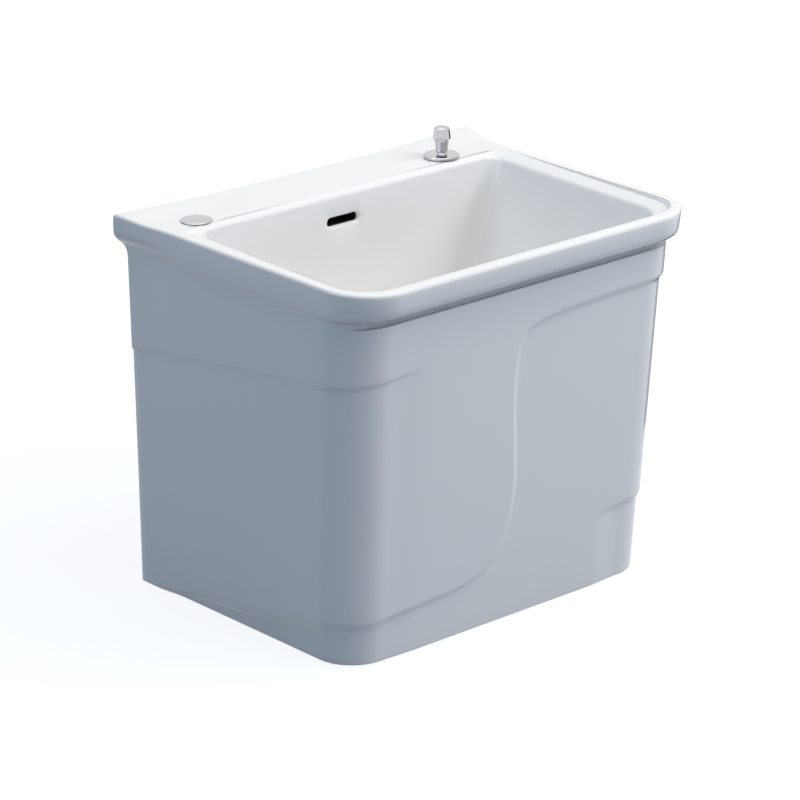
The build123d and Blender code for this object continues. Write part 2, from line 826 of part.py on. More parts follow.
with BuildPart(grub_plane) as crank_screw:
    rod(crank_screw_radius, shaft_bore, crank_hub_radius + crank_screw_proud)

crank_screw.part.label = "crank_screw"
export_step(crank_screw.part, "parts/crank_screw.step")

# The cable's lower end: a pin through the crank's eye, and the wire that pushes and pulls it
pin_y = rocker_y + crank_length * cos(radians(crank_angle))
pin_height = rocker_height + crank_length * (1 + cos(radians(rocker_swing))) / 2
wire_x = outlet_x + crank_high + pin_proud + pin_eye_width / 2
tab_back = bracket_tab_front + bracket_tab_thickness
pin_axis = Plane(origin=(outlet_x, pin_y, pin_height), z_dir=(1, 0, 0))
with BuildPart() as pull_wire_lower:
    with Locations(pin_axis):
        rod(pin_radius, crank_low - pin_proud, crank_high + pin_proud + pin_eye_width)
        rod(pin_eye_radius, crank_high + pin_proud, crank_high + pin_proud + pin_eye_width)
    with Locations(Plane(origin=(wire_x, pin_y, pin_height), z_dir=(0, 1, 0))):
        rod(wire_radius, 0, tab_back + wire_overlap - pin_y)

pull_wire_lower.part.label = "pull_wire_lower"
export_step(pull_wire_lower.part, "parts/pull_wire_lower.step")

# The cable: down from the knob's guide, under the bowl and forward to the bracket
run_length = hypot(knob_x - wire_x, sheath_drop)
with BuildPart() as cable_sheath:
    with BuildLine():
        FilletPolyline(
            (wire_x, tab_back, pin_height),
            (wire_x, knob_y - sheath_wall_offset, pin_height),
            (knob_x, knob_y, pin_height - sheath_drop),
            (knob_x, knob_y, sheath_top),
            radius=[sheath_low_arc_share * run_length, sheath_knob_arc_share * run_length],
        )
    with BuildSketch(Plane(origin=(wire_x, tab_back, pin_height), z_dir=(0, 1, 0))):
        Circle(sheath_radius)
        Circle(sheath_bore_radius, mode=Mode.SUBTRACT)
    sweep()

cable_sheath.part.label = "cable_sheath"
export_step(cable_sheath.part, "parts/cable_sheath.step")

def ferrule(plane):
    """Ferrule with its axis along the wire that leaves it; the sheath ends at the plane."""
    with BuildPart(plane) as form:
        rod(ferrule_radius, -ferrule_seat, ferrule_nose)
        rod(ferrule_flange_radius, -ferrule_flange_thickness, 0)
        rod(sheath_radius + clearance / 2, -ferrule_seat, 0, mode=Mode.SUBTRACT)
        rod(sheath_bore_radius, 0, ferrule_nose, mode=Mode.SUBTRACT)
    return form.part


with BuildPart() as upper_ferrule:
    add(ferrule(knob_axis.offset(sheath_top)))

upper_ferrule.part.label = "upper_ferrule"
export_step(upper_ferrule.part, "parts/upper_ferrule.step")

with BuildPart() as lower_ferrule:
    add(ferrule(Plane(origin=(wire_x, tab_back, pin_height), z_dir=(0, -1, 0))))

lower_ferrule.part.label = "lower_ferrule"
export_step(lower_ferrule.part, "parts/lower_ferrule.step")

# The bracket: a split band round the housing with an arm and a drilled tab
band_inner = housing_radius + clearance
band_outer = band_inner + band_wall
band_low = pin_height - band_height / 2
bracket_arm_x = housing_radius + bracket_arm_gap
bracket_tab_end = wire_x + bracket_tab_margin
with BuildPart() as cable_bracket:
    with BuildSketch(outlet_axis.offset(band_low)):
        Circle(band_outer)
        with Locations((-band_inner, 0)):
            Rectangle(
                ear_length + band_wall, ear_gap + 2 * ear_thickness, align=(Align.MAX, Align.CENTER)
            )
        with Locations((bracket_arm_x, bracket_arm_start)):
            Rectangle(
                bracket_arm_width, tab_back - outlet_y - bracket_arm_start, align=(Align.MIN, Align.MIN)
            )
        Circle(band_inner, mode=Mode.SUBTRACT)
        with Locations((-band_inner + 1, 0)):
            Rectangle(
                ear_length + band_wall + 1, ear_gap, align=(Align.MAX, Align.CENTER), mode=Mode.SUBTRACT
            )
    extrude(amount=band_height)
    with Locations((outlet_x + bracket_arm_x, bracket_tab_front, band_low - bracket_tab_proud)):
        Box(
            bracket_tab_end - bracket_arm_x, bracket_tab_thickness, band_height + 2 * bracket_tab_proud,
            align=(Align.MIN, Align.MIN, Align.MIN),
        )
    with Locations(Plane(origin=(wire_x, bracket_tab_front, pin_height), z_dir=(0, 1, 0))):
        rod(ferrule_radius + clearance, 0, bracket_tab_thickness, mode=Mode.SUBTRACT)
    ear_plane = Plane(
        origin=(outlet_x - band_inner - band_wall - ear_length + ear_screw_inset, outlet_y,
                band_low + band_height / 2),
        z_dir=(0, 1, 0),
    )
    ear_outer = ear_gap / 2 + ear_thickness
    with Locations(ear_plane):
        rod(ear_screw_radius + clearance, -ear_outer, ear_outer, mode=Mode.SUBTRACT)

cable_bracket.part.label = "cable_bracket"
export_step(cable_bracket.part, "parts/cable_bracket.step")

with BuildPart(ear_plane) as bracket_screw:
    rod(ear_screw_radius, -ear_outer, ear_outer + ear_nut_height + 1)
    rod(ear_head_radius, -ear_outer - ear_head_height, -ear_outer)

bracket_screw.part.label = "bracket_screw"
export_step(bracket_screw.part, "parts/bracket_screw.step")

with BuildPart() as bracket_nut:
    with BuildSketch(ear_plane.offset(ear_outer)):
        RegularPolygon(ear_nut_width / 2, 6, major_radius=False)
        Circle(ear_screw_radius + clearance, mode=Mode.SUBTRACT)
    extrude(amount=ear_nut_height)

bracket_nut.part.label = "bracket_nut"
export_step(bracket_nut.part, "parts/bracket_nut.step")

# The stopper: a domed disc over a boss that holds its ring, on a stem that stands on the finger
stopper_low = waste_flange_high - stopper_lift
stopper_high = stopper_low + stopper_height
lip_low = stopper_low - stopper_boss_height - stopper_lip_height
with BuildPart() as stopper:
    with BuildSketch(Plane(origin=(outlet_x, outlet_y, 0), x_dir=(1, 0, 0), z_dir=(0, -1, 0))):
        with BuildLine():
            dome = TangentArc(
                (0, stopper_high + stopper_dome), (stopper_radius, stopper_high), tangent=(1, 0)
            )
            Polyline(
                dome @ 1, (stopper_radius, stopper_low), (stopper_boss_radius, stopper_low),
                (stopper_boss_radius, lip_low + stopper_lip_height),
                (stopper_lip_radius, lip_low + stopper_lip_height), (stopper_lip_radius, lip_low),
                (0, lip_low), dome @ 0,
            )
        make_face()
    revolve(axis=Axis((outlet_x, outlet_y, 0), (0, 0, 1)))
    with Locations(outlet_axis):
        rod(stem_radius + clearance, lip_low, lip_low + stem_seat_depth, mode=Mode.SUBTRACT)

stopper.part.label = "stopper"
export_step(stopper.part, "parts/stopper.step")

with BuildPart(outlet_axis.offset(stopper_low - stopper_ring_drop)) as stopper_oring:
    Torus(stopper_ring_radius, stopper_ring_section)

stopper_oring.part.label = "stopper_oring"
export_step(stopper_oring.part, "parts/stopper_oring.step")

# The stem's round tip stands just clear of the finger when the stopper is down
tip_reach = stem_radius + finger_radius + seat_gap - finger_length * sin(radians(rocker_swing))
tip_centre = rocker_height + tip_reach / cos(radians(rocker_swing))
with BuildPart(outlet_axis) as stopper_stem:
    rod(stem_radius, tip_centre, lip_low + stem_seat_depth - seat_gap)
    with Locations((0, 0, tip_centre)):
        Sphere(stem_radius)

stopper_stem.part.label = "stopper_stem"
export_step(stopper_stem.part, "parts/stopper_stem.step")

# The drop pipe, its slip joint under the housing and the seal on the floor
washer_low = housing_low - pipe_washer_height
slip_nut_low = washer_low - slip_nut_lip
with BuildPart(outlet_axis) as tailpiece:
    rod(pipe_radius, pipe_foot, housing_low + pipe_socket_depth - seat_gap)
    rod(pipe_bore, pipe_foot, housing_low + pipe_socket_depth, mode=Mode.SUBTRACT)

tailpiece.part.label = "tailpiece"
export_step(tailpiece.part, "parts/tailpiece.step")

with BuildPart(outlet_axis) as tailpiece_washer:
    rod(housing_radius, washer_low, housing_low)
    rod(pipe_radius + clearance, washer_low, housing_low, mode=Mode.SUBTRACT)

tailpiece_washer.part.label = "tailpiece_washer"
export_step(tailpiece_washer.part, "parts/tailpiece_washer.step")

with BuildPart() as slip_nut:
    with BuildSketch(outlet_axis.offset(slip_nut_low)):
        Circle(slip_nut_radius)
        with PolarLocations(slip_nut_radius, slip_nut_rib_count):
            Circle(slip_nut_rib_radius)
    extrude(amount=slip_nut_height)
    with Locations(outlet_axis):
        rod(pipe_radius + seat_gap, slip_nut_low, washer_low, mode=Mode.SUBTRACT)
        rod(housing_radius + clearance, washer_low, slip_nut_low + slip_nut_height, mode=Mode.SUBTRACT)

slip_nut.part.label = "slip_nut"
export_step(slip_nut.part, "parts/slip_nut.step")

with BuildPart(outlet_axis) as floor_seal:
    rod(floor_seal_radius, seat_gap, floor_seal_height)
    chamfer(floor_seal.edges().group_by(Axis.Z)[-1], floor_seal_edge)
    rod(pipe_radius + seat_gap, seat_gap, floor_seal_height, mode=Mode.SUBTRACT)

floor_seal.part.label = "floor_seal"
export_step(floor_seal.part, "parts/floor_seal.step")

# The hole cap, held down by a stud, a bar and a nut under the deck
cap_low = deck_height + cap_gasket_height
cap_boss_low = cap_low - cap_boss_length
bar_low = under_deck - cap_bar_height
with BuildPart(cap_axis) as hole_cap:
    rod(cap_radius, cap_low, cap_low + cap_height)
    fillet(hole_cap.edges().group_by(Axis.Z)[-1], cap_edge)
    rod(cap_boss_radius, cap_boss_low, cap_low)
    rod(cap_stud_radius + clearance, cap_boss_low, cap_boss_low + cap_stud_seat, mode=Mode.SUBTRACT)

hole_cap.part.label = "hole_cap"
export_step(hole_cap.part, "parts/hole_cap.step")

with BuildPart(cap_axis) as cap_gasket:
    rod(cap_gasket_radius, deck_height, cap_low)
    rod(cap_boss_radius + clearance, deck_height, cap_low, mode=Mode.SUBTRACT)

cap_gasket.part.label = "cap_gasket"
export_step(cap_gasket.part, "parts/cap_gasket.step")

with BuildPart(cap_axis) as cap_stud:
    rod(
        cap_stud_radius, cap_boss_low + cap_stud_seat - seat_gap - cap_stud_length,
        cap_boss_low + cap_stud_seat - seat_gap,
    )

cap_stud.part.label = "cap_stud"
export_step(cap_stud.part, "parts/cap_stud.step")

with BuildPart(cap_axis) as cap_clamp_bar:
    with Locations((0, 0, bar_low)):
        Box(cap_bar_length, cap_bar_width, cap_bar_height, align=up)
    rod(cap_stud_radius + clearance, bar_low, under_deck, mode=Mode.SUBTRACT)

cap_clamp_bar.part.label = "cap_clamp_bar"
export_step(cap_clamp_bar.part, "parts/cap_clamp_bar.step")

with BuildPart() as cap_nut:
    with BuildSketch(cap_axis.offset(bar_low - cap_nut_height)):
        RegularPolygon(cap_nut_width / 2, 6, major_radius=False)
        Circle(cap_stud_radius + clearance, mode=Mode.SUBTRACT)
    extrude(amount=cap_nut_height)

cap_nut.part.label = "cap_nut"
export_step(cap_nut.part, "parts/cap_nut.step")
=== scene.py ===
import json
import math
import bpy
import numpy as np
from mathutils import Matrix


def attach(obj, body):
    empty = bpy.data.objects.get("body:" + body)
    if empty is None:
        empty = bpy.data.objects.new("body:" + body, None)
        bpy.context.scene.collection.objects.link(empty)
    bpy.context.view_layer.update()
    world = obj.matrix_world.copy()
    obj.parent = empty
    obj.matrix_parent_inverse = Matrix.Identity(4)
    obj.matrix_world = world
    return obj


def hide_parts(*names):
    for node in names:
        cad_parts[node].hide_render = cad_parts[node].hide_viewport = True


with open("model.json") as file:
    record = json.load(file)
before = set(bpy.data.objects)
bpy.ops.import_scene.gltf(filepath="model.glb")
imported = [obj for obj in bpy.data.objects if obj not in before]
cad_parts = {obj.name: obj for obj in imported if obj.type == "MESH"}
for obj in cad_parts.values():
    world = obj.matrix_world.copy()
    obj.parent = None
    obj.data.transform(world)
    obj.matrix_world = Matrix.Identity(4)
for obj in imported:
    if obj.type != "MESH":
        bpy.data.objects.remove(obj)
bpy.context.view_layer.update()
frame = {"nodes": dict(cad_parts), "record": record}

bpy.ops.object.select_all(action="DESELECT")
print("stage: frame loaded")

shellGap = 0.00001  # metres: points of a new shell that are nearer than this become one
copyGap = 0.000002  # the same for the copy of a CAD node


# small helpers used by every piece
def freshStart():
    if bpy.context.object and bpy.context.object.mode != "OBJECT":
        bpy.ops.object.mode_set(mode="OBJECT")
    bpy.ops.object.select_all(action="DESELECT")


def makeActive(piece):
    freshStart()
    piece.select_set(True)
    bpy.context.view_layer.objects.active = piece


def cleanShell(piece):
    makeActive(piece)
    bpy.ops.object.mode_set(mode="EDIT")
    bpy.ops.mesh.select_all(action="SELECT")
    bpy.ops.mesh.remove_doubles(threshold=shellGap)
    bpy.ops.mesh.normals_make_consistent(inside=False)
    bpy.ops.object.mode_set(mode="OBJECT")


def closeEnds(piece):
    bpy.ops.object.mode_set(mode="EDIT")
    bpy.ops.mesh.select_mode(type="EDGE")
    bpy.ops.mesh.select_all(action="DESELECT")
    bpy.ops.mesh.select_non_manifold()
    bpy.ops.mesh.fill_holes(sides=0)
    bpy.ops.mesh.select_all(action="SELECT")
    bpy.ops.mesh.normals_make_consistent(inside=False)
    bpy.ops.object.mode_set(mode="OBJECT")


def sheetOfRows(name, rows, capEnds=False):  # a grid laid along rows in millimetres, merged into a shell
    rowCount, columnCount = len(rows), len(rows[0])
    bpy.ops.mesh.primitive_grid_add(x_subdivisions=columnCount, y_subdivisions=rowCount - 1, size=1)
    piece = bpy.context.object
    piece.name = name
    spots = np.array(rows)
    spots = np.concatenate([spots, spots[:, :1]], axis=1) * 0.001
    piece.data.vertices.foreach_set("co", spots.reshape(-1).astype(np.float32))
    piece.data.update()
    cleanShell(piece)
    if capEnds:
        closeEnds(piece)
    return piece


# the china casting, in millimetres: every row of the sheet goes once round the plan
casting = {
    "rimHalf": 249, "rimFront": 198, "wall": 198, "rimCorner": 59, "wallCorner": 1.2,
    "wallFlare": 12.5, "flareStart": 100, "flareBend": 0.25, "fanX": 219.5, "fanY": 94,
    # at the front, at the sides and at the wall: the rim's top edge, and the lip and cove under it
    "edgeRadius": (5.5, 4, 3), "lipStart": (413.5, 406, 421), "lipRadius": (12.5, 9, 17),
    "coveRadius": (10, 9, 25), "wallBlendFrom": 40,
    # the rim's lean and the groove behind it, which both fade in along the front corner
    "rimLean": 0.13, "leanFade": (0, 0.45), "leanRows": (3, 6),
    "grooveDepth": 10, "grooveFall": 7, "grooveFade": (0.35, 0.75), "grooveHold": (1, 1, 1, 1, 1, 0.55),
    # the deck, whose back corners rise: x, y and z where the rise starts, and the lengths it takes
    "deck": 434, "cornerRise": 4.4, "riseFrom": (110, 150, 407), "riseOver": (151, 48, 27),
    # the skirt's half width and front at the foot, and what they gain up to its top
    "skirtHalf": 229, "skirtHalfGain": 10.5, "skirtFront": 150, "skirtFrontGain": 25.2,
    "skirtAtWall": (231.9, 0.0135, 0.000013), "skirtCorner": 49.5, "skirtTop": 402, "skirtWall": 12,
    "footRadius": 3, "hangLevel": 392, "leastHang": 0.001,
    "levelRuns": [(4, 115, 2.2), (117, 268, 5), (270, 362, 2.4)], "topLevels": [364, 369, 374, 379],
    "coveShares": (0.34, 0.67, 1),
    # the bead, the ledge inside it, the bowl's mouth and the bowl
    "beadHalf": 237.5, "beadFront": 185.5, "beadBack": 112, "beadCorner": 46, "beadBackCorner": 18,
    "beadRadius": 2.5, "ledgeFall": 4.8, "ledgeRadius": 5, "deckTurn": 2.5, "deckTurnFade": 1.2,
    "mouthHalf": 219, "mouthFront": 167, "mouthBack": 107, "mouthCorner": 32, "mouthBackCorner": 16,
    "mouthDrop": 5, "mouthRadius": 7, "mouthHeight": 424,
    "floorHalf": 125, "floorFront": 104, "floorBack": 98, "floorCorner": 38, "floorBackCorner": 38,
    "floor": 172, "floorRadius": 22,
    # the dish in the floor, the seat of the waste and the boss under it
    "dish": 164, "dishRadius": 43, "dishEdge": 30, "recess": 161, "recessRadius": 33, "recessEdge": 1,
    "boreRadius": 23, "boss": 126, "bossRadius": 42, "bossEdge": 3, "bossSeam": 0.01,
    # the hollow under the deck and behind the skirt
    "underFloor": 154, "bowlWall": 12, "underDeck": 420, "innerBack": 186, "ceiling": 402,
    # how finely the rows follow each part
    "coveSteps": 6, "lipSteps": 8, "edgeTurns": (15, 90, 6), "deckSteps": 8, "beadSteps": (6, 5),
    "bowlSteps": 8, "boreSteps": 3, "underSteps": 5, "insideSteps": 8, "smoothAngle": 38,
}

# the half plan has five stretches, from the middle of the back to the middle of the front
columns = {"back": 15, "wallStraight": 5, "wallTurn": 4, "wallSide": 12, "side": 44, "frontCorner": 24}
frontRuns = [(190, 80, 23), (80, 21, 21), (21, 0, 15)]  # millimetres from the middle, and how many points
frontReach = frontRuns[0][0]
frontStops = np.concatenate([[frontReach]] + [np.linspace(*run)[1:] for run in frontRuns])
wallCount = columns["wallStraight"] + columns["wallTurn"] + columns["wallSide"]
stretchCounts = [columns["back"], wallCount, columns["side"], columns["frontCorner"]]
stretch = np.repeat([0, 1, 2, 3, 4], stretchCounts + [len(frontStops)])
share = np.concatenate([np.arange(n) / n for n in stretchCounts] + [1 - frontStops / frontReach])
wallKnots = np.array([0, columns["wallStraight"], columns["wallStraight"] + columns["wallTurn"], wallCount])
wallKnots = wallKnots / wallCount
squareTurn, roundTurn = [90, 90, 180, 180], [90, 130, 140, 180]  # degrees turned at each wall knot
nearly = 0.0001  # slack where shares of a stretch are compared
onBack, onWallCorner, onSide, onFrontCorner, onFront = (stretch == k for k in range(5))
behindCorner = stretch < 3


def smooth(x):
    x = np.clip(x, 0, 1)
    return x * x * (3 - 2 * x)


def unit(turn):
    return np.stack([np.cos(turn), np.sin(turn)], 1)


def ring(half, halfBack, front, back, frontRadius, backRadius, square=False, flare=0.0, inset=0.0):
    inset = np.broadcast_to(np.asarray(inset, float), stretch.shape)
    spot, normal = np.zeros((len(stretch), 2)), np.zeros((len(stretch), 2))
    cornerX, cornerY = half - frontRadius, frontRadius - front
    wallInset = inset[0]

    def halfAt(y):  # half the width, which tapers and then flares to the wall
        reach = np.clip((y - casting["flareStart"]) / (back - casting["flareStart"]), 0, 1)
        bend = casting["flareBend"]
        swing = (1 - np.sqrt(1 - (reach * bend) ** 2)) / (1 - math.sqrt(1 - bend ** 2))
        return half + (halfBack - half) * (y - cornerY) / (back - cornerY) + flare * swing

    if square:
        endX, endY = casting["fanX"], casting["fanY"]
    else:
        endX, endY = halfBack - backRadius, back - backRadius
    spot[onBack] = np.stack([-endX * share[onBack], back - inset[onBack]], 1)
    normal[onBack] = (0, 1)
    along = share[onWallCorner]
    turn = np.radians(np.interp(along, wallKnots, squareTurn if square else roundTurn))
    if square:  # along the wall, round a small corner, and forward along the side
        cornerHalf = halfBack + flare - wallInset
        middle = np.array([backRadius - cornerHalf, back - wallInset - backRadius])
        points = middle + backRadius * unit(turn)
        points[:, 0] += (cornerHalf - backRadius - endX) * (1 - np.interp(along, wallKnots[:2], [0, 1]))
        forward = along > wallKnots[2] - nearly
        y = np.interp(along[forward], wallKnots[2:], [middle[1], endY])
        points[forward] = np.stack([inset[onWallCorner][forward] - halfAt(y), y], 1)
        spot[onWallCorner] = points
    else:
        middle = np.array([backRadius - halfBack, back - backRadius])
        spot[onWallCorner] = middle + (backRadius - inset[onWallCorner][:, None]) * unit(turn)
    normal[onWallCorner] = unit(turn)
    y = endY + (cornerY - endY) * share[onSide]
    spot[onSide] = np.stack([inset[onSide] - halfAt(y), y], 1)
    normal[onSide] = (-1, 0)
    normal[onFrontCorner] = unit(np.radians(180 + 90 * share[onFrontCorner]))
    cornerReach = frontRadius - inset[onFrontCorner][:, None]
    spot[onFrontCorner] = (-cornerX, cornerY) + cornerReach * normal[onFrontCorner]
    spot[onFront] = np.stack([-cornerX * (1 - share[onFront]), inset[onFront] - front], 1)
    normal[onFront] = (0, -1)
    return spot, normal


def planOf(name, grow=0, cornerGrow=0):  # the plan of the bead, of the bowl's mouth or of its floor
    half, front, back = (casting[name + part] + grow for part in ("Half", "Front", "Back"))
    corner, backCorner = (casting[name + part] + cornerGrow for part in ("Corner", "BackCorner"))
    return ring(half, half, front, back, corner, backCorner)


def bothHalves(half):
    return np.concatenate([half, half[-2:0:-1]])


def wholeRow(spot, height):
    row = np.column_stack([spot, np.broadcast_to(np.asarray(height, float), (len(spot),))])
    row = bothHalves(row)
    row[len(spot):, 0] *= -1
    return row


def wholePlan(spot):
    return wholeRow(spot, 0)[:, :2]


def skirtRing(height, inset=0.0, back=casting["wall"]):
    c, rise = casting, height / casting["skirtTop"]
    foot, slope, bend = c["skirtAtWall"]
    return ring(c["skirtHalf"] + c["skirtHalfGain"] * rise, foot + slope * height + bend * height ** 2,
                c["skirtFront"] + c["skirtFrontGain"] * rise, back, c["skirtCorner"], c["wallCorner"],
                square=True, inset=inset)


def insideSkirt(level, height):
    c = casting
    return wholeRow(skirtRing(level, inset=c["skirtWall"], back=c["innerBack"] + c["skirtWall"])[0], height)


# the skirt's reliefs, drawn on the developed face: along the plan from the middle of the front, and up
reliefs = {
    "wave": [(640, 352), (400, 352), (190, 353), (163, 353), (117, 352), (50, 348), (24, 344), (9, 338),
             (-0.5, 324), (-4.5, 300), (-4.6, 261), (-1.5, 215), (2, 171), (0, 140), (-7, 112), (-20, 85),
             (-41, 67), (-77, 57), (-114, 54.5), (-168, 50), (-197, 46), (-227, 46), (-268, 38), (-310, 30),
             (-353, 22), (-386, 17), (-439, 13), (-491, 4), (-560, -12), (-640, -30)],
    "waveHeight": 4, "waveEdge": 8,
    "step": [(-100, 331), (-129, 331), (-166, 330), (-200, 327), (-219, 325), (-266, 319), (-315, 315),
             (-380, 307), (-447, 298), (-533, 287), (-575, 280), (-640, 272)],
    "stepDepth": 2.0, "stepEdge": 4.5, "stepFade": (-129, -180),
    "toe": [(640, 89), (400, 89), (195, 90), (168, 89), (140, 86), (100, 84)],
    "toeDepth": 3.1, "toeEdge": 6, "toeFade": (130, 174),
}


def drawnLine(points, pieces=8):  # a smooth line through all the points
    points = np.array(points, float)
    points = np.vstack([2 * points[0] - points[1], points, 2 * points[-1] - points[-2]])
    t = np.linspace(0, 1, pieces, endpoint=False)[:, None]
    runs = [0.5 * (2 * b + (c - a) * t
                   + (2 * a - 5 * b + 4 * c - d) * t ** 2
                   + (3 * b - a - 3 * c + d) * t ** 3)
            for a, b, c, d in zip(points[:-3], points[1:-2], points[2:-1], points[3:])]
    return np.vstack(runs + [points[-2:-1]])


def sideOf(line, spots):  # distance from the line, less than nothing on its other side
    nearest, signed = np.full(len(spots), np.inf), np.zeros(len(spots))
    for start, way in zip(line[:-1], np.diff(line, axis=0)):
        rel = spots - start
        off = rel - np.clip(rel @ way / (way @ way), 0, 1)[:, None] * way
        gap = np.hypot(off[:, 0], off[:, 1])
        closer = gap < nearest
        nearest[closer] = gap[closer]
        signed[closer] = np.sign(way[1] * rel[closer, 0] - way[0] * rel[closer, 1]) * gap[closer]
    return signed


def reliefOf(flat):
    r = reliefs
    wave = smooth(sideOf(drawnLine(r["wave"]), flat) / r["waveEdge"] + 0.5)
    step = smooth(0.5 - sideOf(drawnLine(r["step"]), flat) / r["stepEdge"])
    toe = smooth(0.5 - sideOf(drawnLine(r["toe"]), flat) / r["toeEdge"])
    stepFade, toeFade = (smooth((flat[:, 0] - a) / (b - a)) for a, b in (r["stepFade"], r["toeFade"]))
    return r["waveHeight"] * wave - r["stepDepth"] * step * stepFade - r["toeDepth"] * toe * toeFade


def skirtRows(levels):
    c = casting
    low, normal = skirtRing(0)
    middle, high = skirtRing(c["skirtTop"] / 2)[0], skirtRing(c["skirtTop"])[0]
    push = normal.copy()
    push[onBack] = 0
    push[onWallCorner, 1] = 0
    rows, flats = [], []
    for height in levels:
        height = np.broadcast_to(np.asarray(height, float), stretch.shape)
        rise = height / c["skirtTop"]
        t = rise[:, None]
        spot = low * (1 - t) * (1 - 2 * t) + middle * 4 * t * (1 - t) + high * t * (2 * t - 1)
        # how far along the developed face each point lies
        cornerX = c["skirtHalf"] - c["skirtCorner"] + c["skirtHalfGain"] * rise
        cornerY = c["skirtCorner"] - c["skirtFront"] - c["skirtFrontGain"] * rise
        along = -spot[:, 0]
        arc = cornerX + c["skirtCorner"] * np.arctan2(-normal[:, 0], -normal[:, 1])
        along[onFrontCorner] = arc[onFrontCorner]
        beyond = cornerX + c["skirtCorner"] * math.pi / 2 + spot[:, 1] - cornerY
        along[behindCorner] = beyond[behindCorner]
        rows.append(wholeRow(spot, height))
        flats.append(np.column_stack([np.concatenate([-along, along[-2:0:-1]]), rows[-1][:, 2]]))
    rise = reliefOf(np.concatenate(flats))
    pushes = wholePlan(push)
    for row, out in zip(rows, rise.reshape(len(rows), -1)):
        row[:, :2] += pushes * out[:, None]
    return rows


def rounded(before, corner, after, radius, steps, reach=0.48, sharpest=3, tiny=0.000001):
    # rows round a corner, which take at most their reach of either run: the sharpest turn is in radians
    toBefore, toAfter = before - corner, after - corner
    longBefore = np.maximum(np.linalg.norm(toBefore, axis=1), tiny)
    longAfter = np.maximum(np.linalg.norm(toAfter, axis=1), tiny)
    turn = math.pi - np.arccos(np.clip((toBefore * toAfter).sum(1) / longBefore / longAfter, -1, 1))
    wanted = radius * np.tan(np.minimum(turn, sharpest) / 2)
    cut = np.minimum(wanted, reach * np.minimum(longBefore, longAfter))
    first = corner + toBefore * (cut / longBefore)[:, None]
    last = corner + toAfter * (cut / longAfter)[:, None]
    weight = np.cos(turn / 2)[:, None]
    return [((1 - t) ** 2 * first + 2 * t * (1 - t) * weight * corner + t ** 2 * last)
            / ((1 - t) ** 2 + 2 * t * (1 - t) * weight + t ** 2) for t in np.linspace(0, 1, steps + 1)]


def between(first, last, steps):
    return [first + (last - first) * t for t in np.linspace(0, 1, steps + 1)[1:-1]]


def ledgeHeight(y):
    c = casting
    return c["deck"] - c["ledgeFall"] * (c["beadBack"] - y) / (c["beadBack"] + c["beadFront"])


# where the bead has no step down to the ledge, the deck turns down to the bowl on a wider curve
beadSpot, beadNormal = planOf("bead")
beadStep = np.maximum(casting["deck"] - ledgeHeight(beadSpot[:, 1]), 0)
softTurn = (casting["deckTurn"] * (1 - smooth(beadStep / casting["deckTurnFade"])))[:, None]
beadEdge = beadSpot + beadNormal * softTurn
footInside = insideSkirt(0, 0)


def alongFront(fade):  # nothing on the sides, all of it on the front, and a smooth change along the corner
    start, end = fade
    amount = onFront.astype(float)
    amount[onFrontCorner] = smooth((share[onFrontCorner] - start) / (end - start))
    return amount


